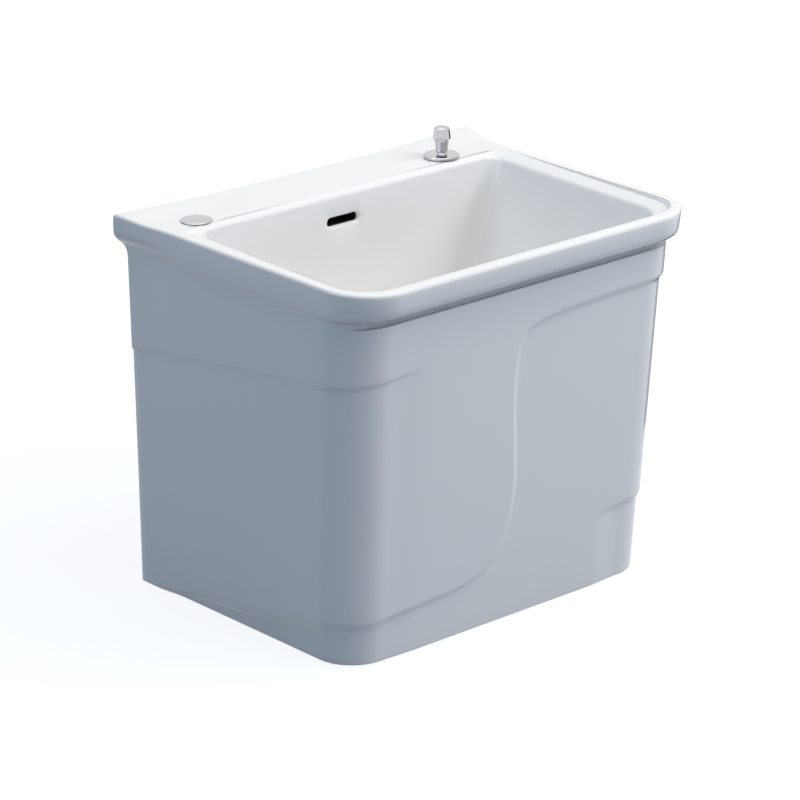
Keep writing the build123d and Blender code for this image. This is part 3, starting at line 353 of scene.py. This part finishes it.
def outerRows():  # from the foot up the skirt, under the rim, round it and over the deck to the bead
    c = casting
    rim = dict(half=c["rimHalf"], halfBack=c["rimHalf"], front=c["rimFront"], back=c["wall"],
               frontRadius=c["rimCorner"], backRadius=c["wallCorner"], square=True, flare=c["wallFlare"])
    rimSpot, rimNormal = ring(**rim)
    nearWall = smooth((rimSpot[:, 1] - c["wallBlendFrom"]) / (c["wall"] - c["wallBlendFrom"]))
    toWall = np.where(behindCorner, nearWall, 0.0)
    toWall[onBack] = 1
    toSide = behindCorner.astype(float)
    toSide[onFrontCorner] = smooth(1 - share[onFrontCorner])

    def blended(name):
        front, side, wall = c[name]
        value = front + (side - front) * toSide
        return value + (wall - value) * toWall

    lip, cove, start, top = (blended(name) for name in ("lipRadius", "coveRadius", "lipStart", "edgeRadius"))
    skirtSpot = skirtRows([c["hangLevel"]])[0][:len(stretch), :2]
    overhang = np.maximum(((rimSpot - skirtSpot) * rimNormal).sum(1), 0)
    angle = np.arccos(np.clip(1 - overhang / (lip + cove), 0, 1))
    coveEnd = start - (lip + cove) * np.sin(angle)
    lastLevel = c["topLevels"][-1]
    levels = [level for run in c["levelRuns"] for level in np.arange(*run)] + c["topLevels"]
    levels += [lastLevel + (coveEnd - lastLevel) * t for t in c["coveShares"]]
    skirt = skirtRows([0] + levels)
    foot = skirt.pop(0)
    rows = rounded(footInside, foot, skirt[0], c["footRadius"], steps=4) + skirt

    # the cove and the lip under the rim, with the groove behind the rim's front
    rimPlan, skirtTop = wholePlan(rimSpot), skirt[-1]
    hang, turned, lip, cove, start = (bothHalves(v) for v in (overhang, angle, lip, cove, start))
    edgeStart = c["deck"] - bothHalves(top)
    coveFoot = start - (lip + cove) * np.sin(turned)
    profile = [(hang - cove * (1 - np.cos(turned * t)), coveFoot + cove * np.sin(turned * t))
               for t in np.linspace(0, 1, c["coveSteps"] + 1)[1:]]
    profile += [(lip * (1 - np.cos(turned * t)), start - lip * np.sin(turned * t))
                for t in np.linspace(1, 0, c["lipSteps"] + 1)]
    lean = wholePlan(-rimNormal * (c["rimLean"] * alongFront(c["leanFade"]))[:, None])
    groove = alongFront(c["grooveFade"])
    inward = wholePlan(-rimNormal * (c["grooveDepth"] * groove)[:, None])
    rows.append(skirtTop + np.column_stack([inward, bothHalves(groove) * -c["grooveFall"]]))
    leanFrom, leanTo = c["leanRows"]
    for k, (inset, height) in enumerate(profile):
        blend = np.clip(inset / np.maximum(hang, c["leastHang"]), 0, 1)[:, None]
        leanShare = np.clip((k - leanFrom) / (leanTo - leanFrom), 0, 1)
        push = inward * (c["grooveHold"][k] if k < len(c["grooveHold"]) else 0)
        push = push + lean * (edgeStart - height)[:, None] * leanShare
        rows.append(np.column_stack([rimPlan + (skirtTop[:, :2] - rimPlan) * blend + push, height]))

    # the rim's face and its top edge, and the deck as far as the bead
    face = edgeStart - start
    upper = [np.column_stack([rimPlan + lean * (face * (1 - t))[:, None], start + face * t])
             for t in (0.5, 1)]
    for turn in np.radians(np.linspace(*c["edgeTurns"])):
        spot, _ = ring(**rim, inset=top * (1 - math.cos(turn)))
        upper.append(wholeRow(spot, c["deck"] - top * (1 - math.sin(turn))))
    upper += between(upper[-1], wholeRow(beadEdge, c["deck"]), c["deckSteps"])
    (fromX, fromY, fromZ), (overX, overY, overZ) = c["riseFrom"], c["riseOver"]
    for row in upper:
        rise = smooth((np.abs(row[:, 0]) - fromX) / overX) * smooth((row[:, 1] - fromY) / overY)
        row[:, 2] += c["cornerRise"] * rise * np.clip((row[:, 2] - fromZ) / overZ, 0, 1)
    return rows + upper


def bowlRing(grow, down):  # a level of the bowl, from its mouth at 0 down to its floor at 1
    mouth, base = planOf("mouth", grow, grow)[0], planOf("floor", grow, grow)[0]
    return mouth + (base - mouth) * down


def beadRows():  # the step from the bead down to the ledge: one curve out, one curve in
    radius, (outSteps, inSteps) = casting["beadRadius"], casting["beadSteps"]
    angle = np.arcsin(np.clip(beadStep / (2 * radius), 0, 1))
    straight = np.maximum(beadStep - 2 * radius, 0)
    steps = [(radius * (1 - np.cos(angle * t)), radius * np.sin(angle * t))
             for t in np.linspace(0, 1, outSteps)]
    steps += [(radius * (2 * (1 - np.cos(angle)) - (1 - np.cos(angle * t))),
               straight + radius * (2 * np.sin(angle) - np.sin(angle * t)))
              for t in np.linspace(1, 0, inSteps)]
    return [wholeRow(beadEdge - beadNormal * move[:, None], casting["deck"] - drop) for move, drop in steps]


floorFlat = planOf("floor", -casting["floorRadius"])[0]
floorRow = wholeRow(floorFlat, casting["floor"])
floorWays = floorRow[:, :2] / np.linalg.norm(floorRow[:, :2], axis=1)[:, None]


def circle(radius, height):
    return np.column_stack([floorWays * radius, np.full(len(floorWays), float(height))])


def bowlRows():  # from the bead over the ledge and down the bowl to its floor
    c = casting
    rows = beadRows()
    ledge = rows.pop()
    outside = ledge + wholeRow(beadNormal * 2 * softTurn, 0)
    ledge = ledge - wholeRow(beadNormal * softTurn, 0)
    mouthSpot = bowlRing(0, 0)
    mouth = wholeRow(mouthSpot, ledgeHeight(mouthSpot[:, 1]) - c["mouthDrop"])
    base = wholeRow(bowlRing(0, 1), c["floor"])
    rows += rounded(outside, ledge, mouth, c["ledgeRadius"], steps=3)
    lip = rounded(ledge, mouth, base, c["mouthRadius"], steps=6)
    bottom = rounded(mouth, base, floorRow, c["floorRadius"], steps=8)
    rows += lip + between(lip[-1], bottom[0], c["bowlSteps"]) + bottom
    return rows + rounded(base, floorRow, circle(c["dishRadius"], c["dish"]), c["dishEdge"], steps=3)


def outletRows():  # the dish, the seat of the waste, its bore and the boss under the floor
    c = casting
    dish, dishEnd = circle(c["dishRadius"], c["dish"]), circle(c["recessRadius"], c["dish"])
    seat, boreTop = circle(c["recessRadius"], c["recess"]), circle(c["boreRadius"], c["recess"])
    boreEnd, bossFoot = circle(c["boreRadius"], c["boss"]), circle(c["bossRadius"], c["boss"])
    rows = rounded(floorRow, dish, dishEnd, c["dishEdge"], steps=3)
    rows += rounded(dish, dishEnd, seat, c["recessEdge"], steps=2) + [seat, boreTop]
    rows += between(boreTop, boreEnd, c["boreSteps"]) + [boreEnd]
    rows += rounded(boreEnd, bossFoot, circle(c["bossRadius"], c["underFloor"]), c["bossEdge"], steps=3)
    return rows + [circle(c["bossRadius"], c["underFloor"] - c["bossSeam"])]


def hollowRows():  # the bowl's underside, the space under the deck and the skirt's inside
    c = casting
    underFlat = wholeRow(floorFlat, c["underFloor"])
    underCorner = wholeRow(bowlRing(c["bowlWall"], 1), c["underFloor"])
    ceiling = np.where(onBack, c["underDeck"], c["ceiling"]).astype(float)
    atKnots = [c["underDeck"], c["underDeck"], c["ceiling"], c["ceiling"]]
    ceiling[onWallCorner] = np.interp(share[onWallCorner], wallKnots, atKnots)
    down = ((c["mouthHeight"] - ceiling) / (c["mouthHeight"] - c["floor"]))[:, None]
    underTop = wholeRow(bowlRing(c["bowlWall"], down), ceiling)
    turned = rounded(underFlat, underCorner, underTop, c["floorRadius"] + c["bowlWall"], steps=6)
    skirtInside = insideSkirt(c["ceiling"], ceiling)
    rows = turned + between(turned[-1], underTop, c["underSteps"]) + [underTop]
    return rows + [skirtInside] + between(skirtInside, footInside, c["insideSteps"]) + [footInside]


outer = outerRows()
china = sheetOfRows("china_casting", outer + bowlRows() + outletRows() + hollowRows() + [outer[0]])
print("stage: casting sheet,", len(china.data.polygons), "faces")


# openings in the casting, in millimetres: boxes by their low and high corners, holes by x, y and radius
openings = {
    "ductX": (-45, 25),
    "ductSide": [(31, 130), (142, 130), (142, 428), (108.5, 428), (108.5, 169), (84, 169), (70, 158),
                 (31, 158)],
    "chamber": ((-38, 119, 136), (18, 135, 416)), "channel": ((-15, 0, 136.5), (15, 127, 150)),
    "access": ((-185, 180, -10), (185, 204, 300)), "accessRadius": 25, "accessTop": 290, "accessThrough": 10,
    "slotX": -10, "slotZ": 401, "slotLength": 44, "slotHeight": 9.6, "slotWall": 106.1, "slotEndPoints": 17,
    "slotLip": 4.5, "slotLipTurns": (25, 90, 7), "slotMouth": (0.577, 2.2), "slotFrom": (16, 0.7),
    "slotTo": 123, "bevelSteps": 8,
    "knobHole": (161, 132, 9.75), "capHole": (-200, 129.5, 12), "holeMiddle": 430, "holeDepth": 40,
    "holeSides": 40,
}


def block(name, low, high):
    middle = [(a + b) / 2000 for a, b in zip(low, high)]
    size = [(b - a) / 1000 for a, b in zip(low, high)]
    bpy.ops.mesh.primitive_cube_add(size=1, location=middle, scale=size)
    bpy.ops.object.transform_apply(location=True, rotation=True, scale=True)
    piece = bpy.context.object
    piece.name = name
    return piece


def bevelWhere(piece, test, width, segments):
    makeActive(piece)
    bpy.ops.object.mode_set(mode="EDIT")
    bpy.ops.mesh.select_all(action="DESELECT")
    bpy.ops.mesh.select_mode(type="EDGE")
    bpy.ops.object.mode_set(mode="OBJECT")
    points = piece.data.vertices
    for edge in piece.data.edges:
        edge.select = test(points[edge.vertices[0]].co, points[edge.vertices[1]].co)
    bpy.ops.object.mode_set(mode="EDIT")
    bpy.ops.mesh.bevel(offset=width, segments=segments)
    bpy.ops.object.mode_set(mode="OBJECT")


def slotCutter():  # a long round slot that widens over its lip to the bowl
    o = openings
    radius, straight = o["slotHeight"] / 2, (o["slotLength"] - o["slotHeight"]) / 2
    lip, wall, points = o["slotLip"], o["slotWall"], o["slotEndPoints"]
    turn = np.radians(np.concatenate([np.linspace(-90, 90, points), np.linspace(90, 270, points)]))
    centre = np.repeat([straight, -straight], points)
    lipShare, extra = o["slotMouth"]
    steps = [(wall - before, lipShare * lip + extra) for before in o["slotFrom"]]
    steps += [(wall + lip * (1 - math.cos(a)), lip * (1 - math.sin(a)))
              for a in np.radians(np.linspace(*o["slotLipTurns"]))]
    steps += [(o["slotTo"], 0)]
    rows = []
    for y, grow in steps:
        x = o["slotX"] + centre + (radius + grow) * np.cos(turn)
        z = o["slotZ"] + (radius + grow) * np.sin(turn)
        rows.append(np.column_stack([x, np.full(len(turn), float(y)), z]))
    return sheetOfRows("slot_cutter", rows, capEnds=True)


def holeCutter(x, y, radius):
    o = openings
    bpy.ops.mesh.primitive_cylinder_add(
        vertices=o["holeSides"], radius=radius / 1000, depth=o["holeDepth"] / 1000,
        location=(x / 1000, y / 1000, o["holeMiddle"] / 1000))
    bpy.ops.object.transform_apply(location=True)
    return bpy.context.object


def cutOrJoin(piece, operation, other):
    modifier = piece.modifiers.new(operation.lower(), "BOOLEAN")
    modifier.operation, modifier.object, modifier.solver = operation, other, "FAST"
    makeActive(piece)
    bpy.ops.object.modifier_apply(modifier=modifier.name)
    bpy.data.objects.remove(other)


def openCasting(piece):
    o = openings
    ductRows = [np.array([(x, y, z) for y, z in o["ductSide"]], float) for x in o["ductX"]]
    cutOrJoin(piece, "UNION", sheetOfRows("duct", ductRows, capEnds=True))
    access, top = block("access_cutter", *o["access"]), o["accessTop"] / 1000

    def upperCorner(a, b):  # the two edges that run through the wall at the top of the opening
        return min(a.z, b.z) > top and abs(a.y - b.y) > o["accessThrough"] / 1000

    bevelWhere(access, upperCorner, o["accessRadius"] / 1000, o["bevelSteps"])
    cutters = [access, block("chamber_cutter", *o["chamber"]), block("channel_cutter", *o["channel"])]
    cutters += [slotCutter(), holeCutter(*o["knobHole"]), holeCutter(*o["capHole"])]
    for cutter in cutters:
        cutOrJoin(piece, "DIFFERENCE", cutter)
    for point in piece.data.vertices:  # the face against the wall is flat
        point.co.y = min(point.co.y, casting["wall"] / 1000)


openCasting(china)
makeActive(china)
bpy.ops.object.shade_smooth_by_angle(angle=math.radians(casting["smoothAngle"]))
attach(china, "sink")
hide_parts("china_tub")
print("stage: casting opened,", len(china.data.polygons), "faces")


# where the glaze stops, and where the duct and the slot's tunnel get a painted shade, in millimetres
clay = {
    "skirtDepth": 11, "bowlGap": 6, "bowlMiddle": (0, 0, 300), "top": 421, "wallFace": 197.9, "wallTop": 425,
    "openBack": 300, "openBackCorner": 1, "slotSide": 30, "slotHeight": 14, "slotBack": 120,
    "ductMargin": 0.5, "ductFloor": 150, "slotPaintedShadeLead": 0.3,
}


def plainBox(x, y, half, front, back, frontRadius, backRadius):  # distance outside a rounded plan
    radius = np.where(y < 0, frontRadius, backRadius)
    overX = np.abs(x) - half + radius
    overY = np.where(y < 0, front - y, y - back) + radius
    outside = np.hypot(np.maximum(overX, 0), np.maximum(overY, 0))
    return outside + np.minimum(np.maximum(overX, overY), 0) - radius


def markClayAndPaintedShade(piece):  # bare clay inside the skirt and on the face against the wall, and a painted shade, near black, in the duct and the slot's tunnel
    c, o = casting, openings
    count = len(piece.data.vertices)
    spots, facing = np.zeros(count * 3, np.float32), np.zeros(count * 3, np.float32)
    piece.data.vertices.foreach_get("co", spots)
    piece.data.vertex_normals.foreach_get("vector", facing)
    spots, facing = spots.reshape(-1, 3) * 1000, facing.reshape(-1, 3)
    x, y, z = spots.T
    rise, up = z / c["skirtTop"], np.clip((z - c["floor"]) / (c["mouthHeight"] - c["floor"]), 0, 1)

    def onBowl(name):
        return c["floor" + name] + (c["mouth" + name] - c["floor" + name]) * up

    skirtHalf = c["skirtHalf"] + c["skirtHalfGain"] * rise
    skirtFront = -c["skirtFront"] - c["skirtFrontGain"] * rise
    skirtBox = plainBox(x, y, skirtHalf, skirtFront, clay["openBack"],
                        c["skirtCorner"], clay["openBackCorner"])
    bowlBox = plainBox(x, y, onBowl("Half"), -onBowl("Front"), onBowl("Back"),
                       onBowl("Corner"), onBowl("BackCorner"))
    underSkirt, pastBowl = skirtBox < -clay["skirtDepth"], bowlBox > clay["bowlGap"]
    awayFromBowl = (facing * (clay["bowlMiddle"] - spots)).sum(1) < 0
    inSlot = (np.abs(x - o["slotX"]) < clay["slotSide"]) & (np.abs(z - o["slotZ"]) < clay["slotHeight"])
    inSlot = inSlot & (y < clay["slotBack"])
    inside = underSkirt & (pastBowl | awayFromBowl) & (z < clay["top"])
    onWall = (y > clay["wallFace"]) & (z < clay["wallTop"])
    (lowX, lowY, _), (highX, highY, highZ) = o["chamber"]
    margin = clay["ductMargin"]
    inDuct = (x > lowX - margin) & (x < highX + margin) & (y > lowY - margin) & (y < highY + margin)
    inDuct = inDuct & (z > clay["ductFloor"]) & (z < highZ + margin)
    # painted shade: the duct and the slot's tunnel behind its lip are marked to be coloured near black, for
    # the shade deep inside them
    paintedShadeMask = inDuct | (inSlot & (y > o["slotWall"] + o["slotLip"] - clay["slotPaintedShadeLead"]))
    for label, mask in (("bareClay", (inside | onWall) & ~inSlot & ~paintedShadeMask), ("paintedDuctShadeMark", paintedShadeMask)):
        mark = piece.data.attributes.new(label, "FLOAT", "POINT")
        mark.data.foreach_set("value", mask.astype(np.float32))


markClayAndPaintedShade(china)


# smooth copies of the other pieces: each stands for its own node
fittings = {
    "smoothAngle": 35,
    "thinner": {"hole_cap": (0.4345, 0.5)},  # it lies almost flush: its seat in metres, the share kept
}


def smoothCopy(name, body):
    freshStart()
    source = frame["nodes"][name]
    piece = bpy.data.objects.new(name + "_finished", source.data.copy())
    bpy.context.scene.collection.objects.link(piece)
    makeActive(piece)
    bpy.ops.object.mode_set(mode="EDIT")
    bpy.ops.mesh.select_all(action="SELECT")
    bpy.ops.mesh.remove_doubles(threshold=copyGap)
    bpy.ops.object.mode_set(mode="OBJECT")
    bpy.ops.object.shade_smooth_by_angle(angle=math.radians(fittings["smoothAngle"]))
    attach(piece, body)
    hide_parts(name)
    return piece


slotOf = {part["node"]: part["material_slot"] for part in frame["record"]["subparts"]}
bodyOf = {node: body for body, nodes in frame["record"]["behaviour"]["bodies"].items() for node in nodes}
finished = {}
for node in frame["nodes"]:
    if node != "china_tub":
        finished[node] = smoothCopy(node, bodyOf[node])
for node, (seat, kept) in fittings["thinner"].items():
    for point in finished[node].data.vertices:
        point.co.z = min(point.co.z, seat + (point.co.z - seat) * kept)
print("stage: fittings smoothed,", len(finished))


# finishes
def newGroup(name, inputs, outputs):
    group = bpy.data.node_groups.new(name, "ShaderNodeTree")
    for label, kind, value in inputs:
        socket = group.interface.new_socket(name=label, in_out="INPUT", socket_type=kind)
        if value is not None:
            socket.default_value = value
    for label, kind in outputs:
        group.interface.new_socket(name=label, in_out="OUTPUT", socket_type=kind)
    return group, group.nodes.new("NodeGroupInput"), group.nodes.new("NodeGroupOutput")


def addNode(tree, kind, settings=None, **inputs):
    node = tree.nodes.new(kind)
    for key, value in (settings or {}).items():
        setattr(node, key, value)
    for key, value in inputs.items():
        node.inputs[key.replace("_", " ")].default_value = value
    return node


mixSockets = {"FLOAT": (2, 3, 0), "RGBA": (6, 7, 2)}  # a Mix node's two inputs and its output, by number


def mixed(tree, kind, amount, first, second):  # sockets are linked, colours and numbers are set
    node = addNode(tree, "ShaderNodeMix", {"data_type": kind})
    firstPlace, secondPlace, out = mixSockets[kind]
    for place, value in ((0, amount), (firstPlace, first), (secondPlace, second)):
        if isinstance(value, bpy.types.NodeSocket):
            tree.links.new(value, node.inputs[place])
        else:
            node.inputs[place].default_value = (*value, 1) if isinstance(value, tuple) else value
    return node.outputs[out]


def mottleGroup():  # soft cloudy variation, with a fine grain over it
    group, start, end = newGroup(
        "mottle",
        [("Coordinates", "NodeSocketVector", None), ("Cloud Scale", "NodeSocketFloat", 10.0),
         ("Grain Scale", "NodeSocketFloat", 300.0), ("Grain Share", "NodeSocketFloat", 0.3)],
        [("Mask", "NodeSocketFloat")])
    links = group.links
    cloud = addNode(group, "ShaderNodeTexNoise", Detail=3.0, Roughness=0.55)
    grain = addNode(group, "ShaderNodeTexNoise", Detail=2.0, Roughness=0.6)
    for noise, scale in ((cloud, "Cloud Scale"), (grain, "Grain Scale")):
        links.new(start.outputs["Coordinates"], noise.inputs["Vector"])
        links.new(start.outputs[scale], noise.inputs["Scale"])
    mask = mixed(group, "FLOAT", start.outputs["Grain Share"], cloud.outputs[0], grain.outputs[0])
    links.new(mask, end.inputs["Mask"])
    return group


mottle = mottleGroup()
glossSpread = {"From_Min": 0.3, "From_Max": 0.7}  # the part of the mottle that spreads the roughness


def finish(name, recipe):
    material = bpy.data.materials.new(name)
    material.use_nodes = True
    tree, links = material.node_tree, material.node_tree.links
    shader = tree.nodes["Principled BSDF"]
    for key, value in recipe["shader"].items():
        shader.inputs[key].default_value = value
    place = addNode(tree, "ShaderNodeTexCoord")
    mapping = addNode(tree, "ShaderNodeMapping", Scale=recipe.get("stretch", (1, 1, 1)))
    links.new(place.outputs["Object"], mapping.inputs["Vector"])
    pattern = addNode(tree, "ShaderNodeGroup", {"node_tree": mottle}, Cloud_Scale=recipe["cloud"],
                      Grain_Scale=recipe["grain"], Grain_Share=recipe["grainShare"])
    links.new(mapping.outputs[0], pattern.inputs["Coordinates"])
    mask = pattern.outputs["Mask"]
    colour = mixed(tree, "RGBA", mask, recipe["low"], recipe["high"])
    smoothest, roughest = recipe["roughness"]
    gloss = addNode(tree, "ShaderNodeMapRange", **glossSpread, To_Min=smoothest, To_Max=roughest)
    links.new(mask, gloss.inputs["Value"])
    roughness = gloss.outputs[0]
    strength, distance = recipe["bump"]
    bump = addNode(tree, "ShaderNodeBump", Strength=strength, Distance=distance)
    links.new(mask, bump.inputs["Height"])
    links.new(bump.outputs[0], shader.inputs["Normal"])
    # bare clay where the glaze stops, and a painted shade, near black, in the duct and the slot's tunnel
    if "bare" in recipe:
        bare = addNode(tree, "ShaderNodeAttribute", {"attribute_name": "bareClay"}).outputs["Fac"]
        paintedDuctShade = addNode(tree, "ShaderNodeAttribute", {"attribute_name": "paintedDuctShadeMark"}).outputs["Fac"]
        colour = mixed(tree, "RGBA", bare, colour, recipe["bare"])
        colour = mixed(tree, "RGBA", paintedDuctShade, colour, recipe["paintedDuctShade"])
        roughness = mixed(tree, "FLOAT", bare, roughness, recipe["bareRoughness"])
    links.new(colour, shader.inputs["Base Color"])
    links.new(roughness, shader.inputs["Roughness"])
    return material


recipes = {
    "white_glaze": {"shader": {"IOR": 1.5}, "low": (0.865, 0.868, 0.862), "high": (0.90, 0.90, 0.892),
                    # the bare clay's colour, and a painted shade, near black, for inside the duct and the
                    # slot's tunnel
                    "bare": (0.74, 0.70, 0.63), "bareRoughness": 0.7, "paintedDuctShade": (0.025, 0.025, 0.028),
                    "cloud": 7, "grain": 260, "grainShare": 0.25,
                    "roughness": (0.14, 0.2), "bump": (0.06, 0.002)},
    "chrome": {"shader": {"Metallic": 1.0}, "low": (0.50, 0.51, 0.53), "high": (0.60, 0.61, 0.63),
               "cloud": 60, "grain": 900, "grainShare": 0.3,
               "roughness": (0.05, 0.12), "bump": (0.02, 0.0004)},
    "steel": {"shader": {"Metallic": 1.0}, "low": (0.42, 0.43, 0.45), "high": (0.60, 0.61, 0.62),
              "stretch": (1, 1, 14), "cloud": 160, "grain": 700, "grainShare": 0.5,
              "roughness": (0.28, 0.42), "bump": (0.15, 0.0004)},
    "brass": {"shader": {"Metallic": 1.0}, "low": (0.50, 0.36, 0.14), "high": (0.72, 0.56, 0.28),
              "stretch": (1, 1, 22), "cloud": 50, "grain": 600, "grainShare": 0.5,
              "roughness": (0.22, 0.36), "bump": (0.12, 0.0004)},
    "black_plastic": {"shader": {"IOR": 1.46}, "low": (0.012, 0.012, 0.013), "high": (0.03, 0.03, 0.032),
                      "cloud": 70, "grain": 1400, "grainShare": 0.6,
                      "roughness": (0.35, 0.5), "bump": (0.2, 0.0003)},
    "grey_plastic": {"shader": {"IOR": 1.46}, "low": (0.15, 0.16, 0.17), "high": (0.20, 0.21, 0.22),
                     "cloud": 70, "grain": 1400, "grainShare": 0.6,
                     "roughness": (0.35, 0.48), "bump": (0.2, 0.0003)},
    "white_plastic": {"shader": {"IOR": 1.46, "Subsurface Weight": 0.1, "Subsurface Scale": 0.002},
                      "low": (0.70, 0.70, 0.68), "high": (0.77, 0.77, 0.75),
                      "cloud": 50, "grain": 1200, "grainShare": 0.5,
                      "roughness": (0.3, 0.42), "bump": (0.15, 0.0003)},
    "black_rubber": {"shader": {"IOR": 1.5}, "low": (0.012, 0.012, 0.012), "high": (0.035, 0.034, 0.033),
                     "cloud": 90, "grain": 1100, "grainShare": 0.7,
                     "roughness": (0.6, 0.8), "bump": (0.3, 0.0004)},
}
finishes = {name: finish(name + "_finish", recipe) for name, recipe in recipes.items()}


def dress(piece, material):
    piece.data.materials.clear()
    piece.data.materials.append(material)


dress(china, finishes["white_glaze"])
for pieces in (finished, frame["nodes"]):
    for node, piece in pieces.items():
        dress(piece, finishes[slotOf[node]])
print("stage: finishes on")


# studio, in metres
studio = {
    "floorSize": 60, "floorDrop": 0.0005, "floorColour": (0.19, 0.22, 0.26), "floorRoughness": 0.9,
    "floorSpecular": 0.1, "floorGlow": (0.84, 1.0), "glowFrom": 0.5, "glowTo": 2.2,
    "ambient": (0.06, 0.08, 0.11), "aim": (0, 0, 0.3),
    "lights": {
        "top_light": {"place": (0.0, 0.0, 3.6), "size": 3.4, "power": 60, "colour": (1.0, 0.97, 0.91),
                      "mirrored": True},
        "front_right_light": {"place": (1.9, -2.0, 3.0), "size": 3.0, "power": 94,
                              "colour": (0.99, 0.965, 0.96), "mirrored": False},
        "front_fill": {"place": (0.6, -4.3, 0.75), "size": 1.2, "power": 28, "colour": (0.66, 0.79, 0.97),
                       "mirrored": False},
        "left_fill": {"place": (-3.0, 0.9, 2.4), "size": 2.0, "power": 29, "colour": (0.62, 0.79, 1.0),
                      "mirrored": True},
    },
    "darkCards": {
        "dark_card_right": {"low": (0.60, -0.10, 0.0), "high": (0.61, 0.20, 0.42)},
    },
    "cardColour": (0.12, 0.12, 0.13), "cardRoughness": 0.9,
    "cameraPlace": (-2.6120, -2.9087, 1.6557), "azimuth": -41.7, "elevation": 20.24,
    "lens": 168.75, "sensor": 36, "farthest": 100,
}


def softLight(name, light):
    freshStart()
    bpy.ops.object.light_add(type="AREA", location=light["place"])
    lamp = bpy.context.object
    lamp.name = name
    lamp.data.shape = "DISK"
    lamp.data.size = light["size"]
    lamp.data.energy = light["power"]
    lamp.data.color = light["colour"]
    lamp.visible_glossy = light["mirrored"]
    away = np.array(light["place"]) - np.array(studio["aim"])
    flat = math.hypot(away[0], away[1])
    lamp.rotation_euler = (math.atan2(flat, away[2]), 0, math.atan2(away[1], away[0]) + math.pi / 2)


def darkCard(name, low, high):  # only mirrors see it: it gives the chrome its dark edges
    card = block(name, [value * 1000 for value in low], [value * 1000 for value in high])
    for ray in ("camera", "diffuse", "transmission", "shadow", "volume_scatter"):
        setattr(card, "visible_" + ray, False)
    felt = bpy.data.materials.new(name + "_felt")
    felt.use_nodes = True
    shader = felt.node_tree.nodes["Principled BSDF"]
    shader.inputs["Base Color"].default_value = (*studio["cardColour"], 1)
    shader.inputs["Roughness"].default_value = studio["cardRoughness"]
    card.data.materials.append(felt)


def seenDirectly(tree):  # 1 for the camera, and in mirrors and glass
    path = addNode(tree, "ShaderNodeLightPath")
    first = addNode(tree, "ShaderNodeMath", {"operation": "ADD"})
    second = addNode(tree, "ShaderNodeMath", {"operation": "ADD", "use_clamp": True})
    tree.links.new(path.outputs["Is Camera Ray"], first.inputs[0])
    tree.links.new(path.outputs["Is Glossy Ray"], first.inputs[1])
    tree.links.new(first.outputs[0], second.inputs[0])
    tree.links.new(path.outputs["Is Transmission Ray"], second.inputs[1])
    return second.outputs[0]


def layFloor():  # grey under the light, with a glow that makes it pale where it is seen
    s = studio
    bpy.ops.mesh.primitive_plane_add(size=s["floorSize"], location=(0, 0, -s["floorDrop"]))
    floor = bpy.context.object
    floor.name = "studio_floor"
    paper = bpy.data.materials.new("studio_floor_paper")
    paper.use_nodes = True
    tree = paper.node_tree
    shader = tree.nodes["Principled BSDF"]
    shader.inputs["Base Color"].default_value = (*s["floorColour"], 1)
    shader.inputs["Roughness"].default_value = s["floorRoughness"]
    shader.inputs["Specular IOR Level"].default_value = s["floorSpecular"]
    shader.inputs["Emission Color"].default_value = (1, 1, 1, 1)
    place = addNode(tree, "ShaderNodeTexCoord")
    distance = addNode(tree, "ShaderNodeVectorMath", {"operation": "LENGTH"})
    nearGlow, farGlow = s["floorGlow"]
    fade = addNode(tree, "ShaderNodeMapRange", {"interpolation_type": "SMOOTHSTEP"}, From_Min=s["glowFrom"],
                   From_Max=s["glowTo"], To_Min=nearGlow, To_Max=farGlow)
    tree.links.new(place.outputs["Object"], distance.inputs[0])
    tree.links.new(distance.outputs["Value"], fade.inputs["Value"])
    glow = addNode(tree, "ShaderNodeMath", {"operation": "MULTIPLY"})
    tree.links.new(seenDirectly(tree), glow.inputs[0])
    tree.links.new(fade.outputs["Result"], glow.inputs[1])
    tree.links.new(glow.outputs[0], shader.inputs["Emission Strength"])
    floor.data.materials.append(paper)


def makeWorld():  # white where it is seen, and a soft dim light on the object
    world = bpy.data.worlds.new("studio_world")
    bpy.context.scene.world = world
    world.use_nodes = True
    tree = world.node_tree
    output, plain = tree.nodes["World Output"], tree.nodes["Background"]
    plain.inputs["Color"].default_value = (1, 1, 1, 1)
    soft = addNode(tree, "ShaderNodeBackground")
    soft.inputs["Color"].default_value = (*studio["ambient"], 1)
    mix = addNode(tree, "ShaderNodeMixShader")
    tree.links.new(seenDirectly(tree), mix.inputs[0])
    tree.links.new(soft.outputs[0], mix.inputs[1])
    tree.links.new(plain.outputs[0], mix.inputs[2])
    tree.links.new(mix.outputs[0], output.inputs["Surface"])


def placeCamera():
    s = studio
    freshStart()
    turn = (math.radians(90 - s["elevation"]), 0, math.radians(s["azimuth"]))
    bpy.ops.object.camera_add(location=s["cameraPlace"], rotation=turn)
    camera = bpy.context.object
    camera.data.sensor_width = s["sensor"]
    camera.data.lens = s["lens"]
    camera.data.clip_end = s["farthest"]
    bpy.context.scene.camera = camera
    bpy.context.scene.view_settings.view_transform = "Standard"


layFloor()
makeWorld()
for name, light in studio["lights"].items():
    softLight(name, light)
for name, card in studio["darkCards"].items():
    darkCard(name, card["low"], card["high"])
placeCamera()
print("stage: studio set")
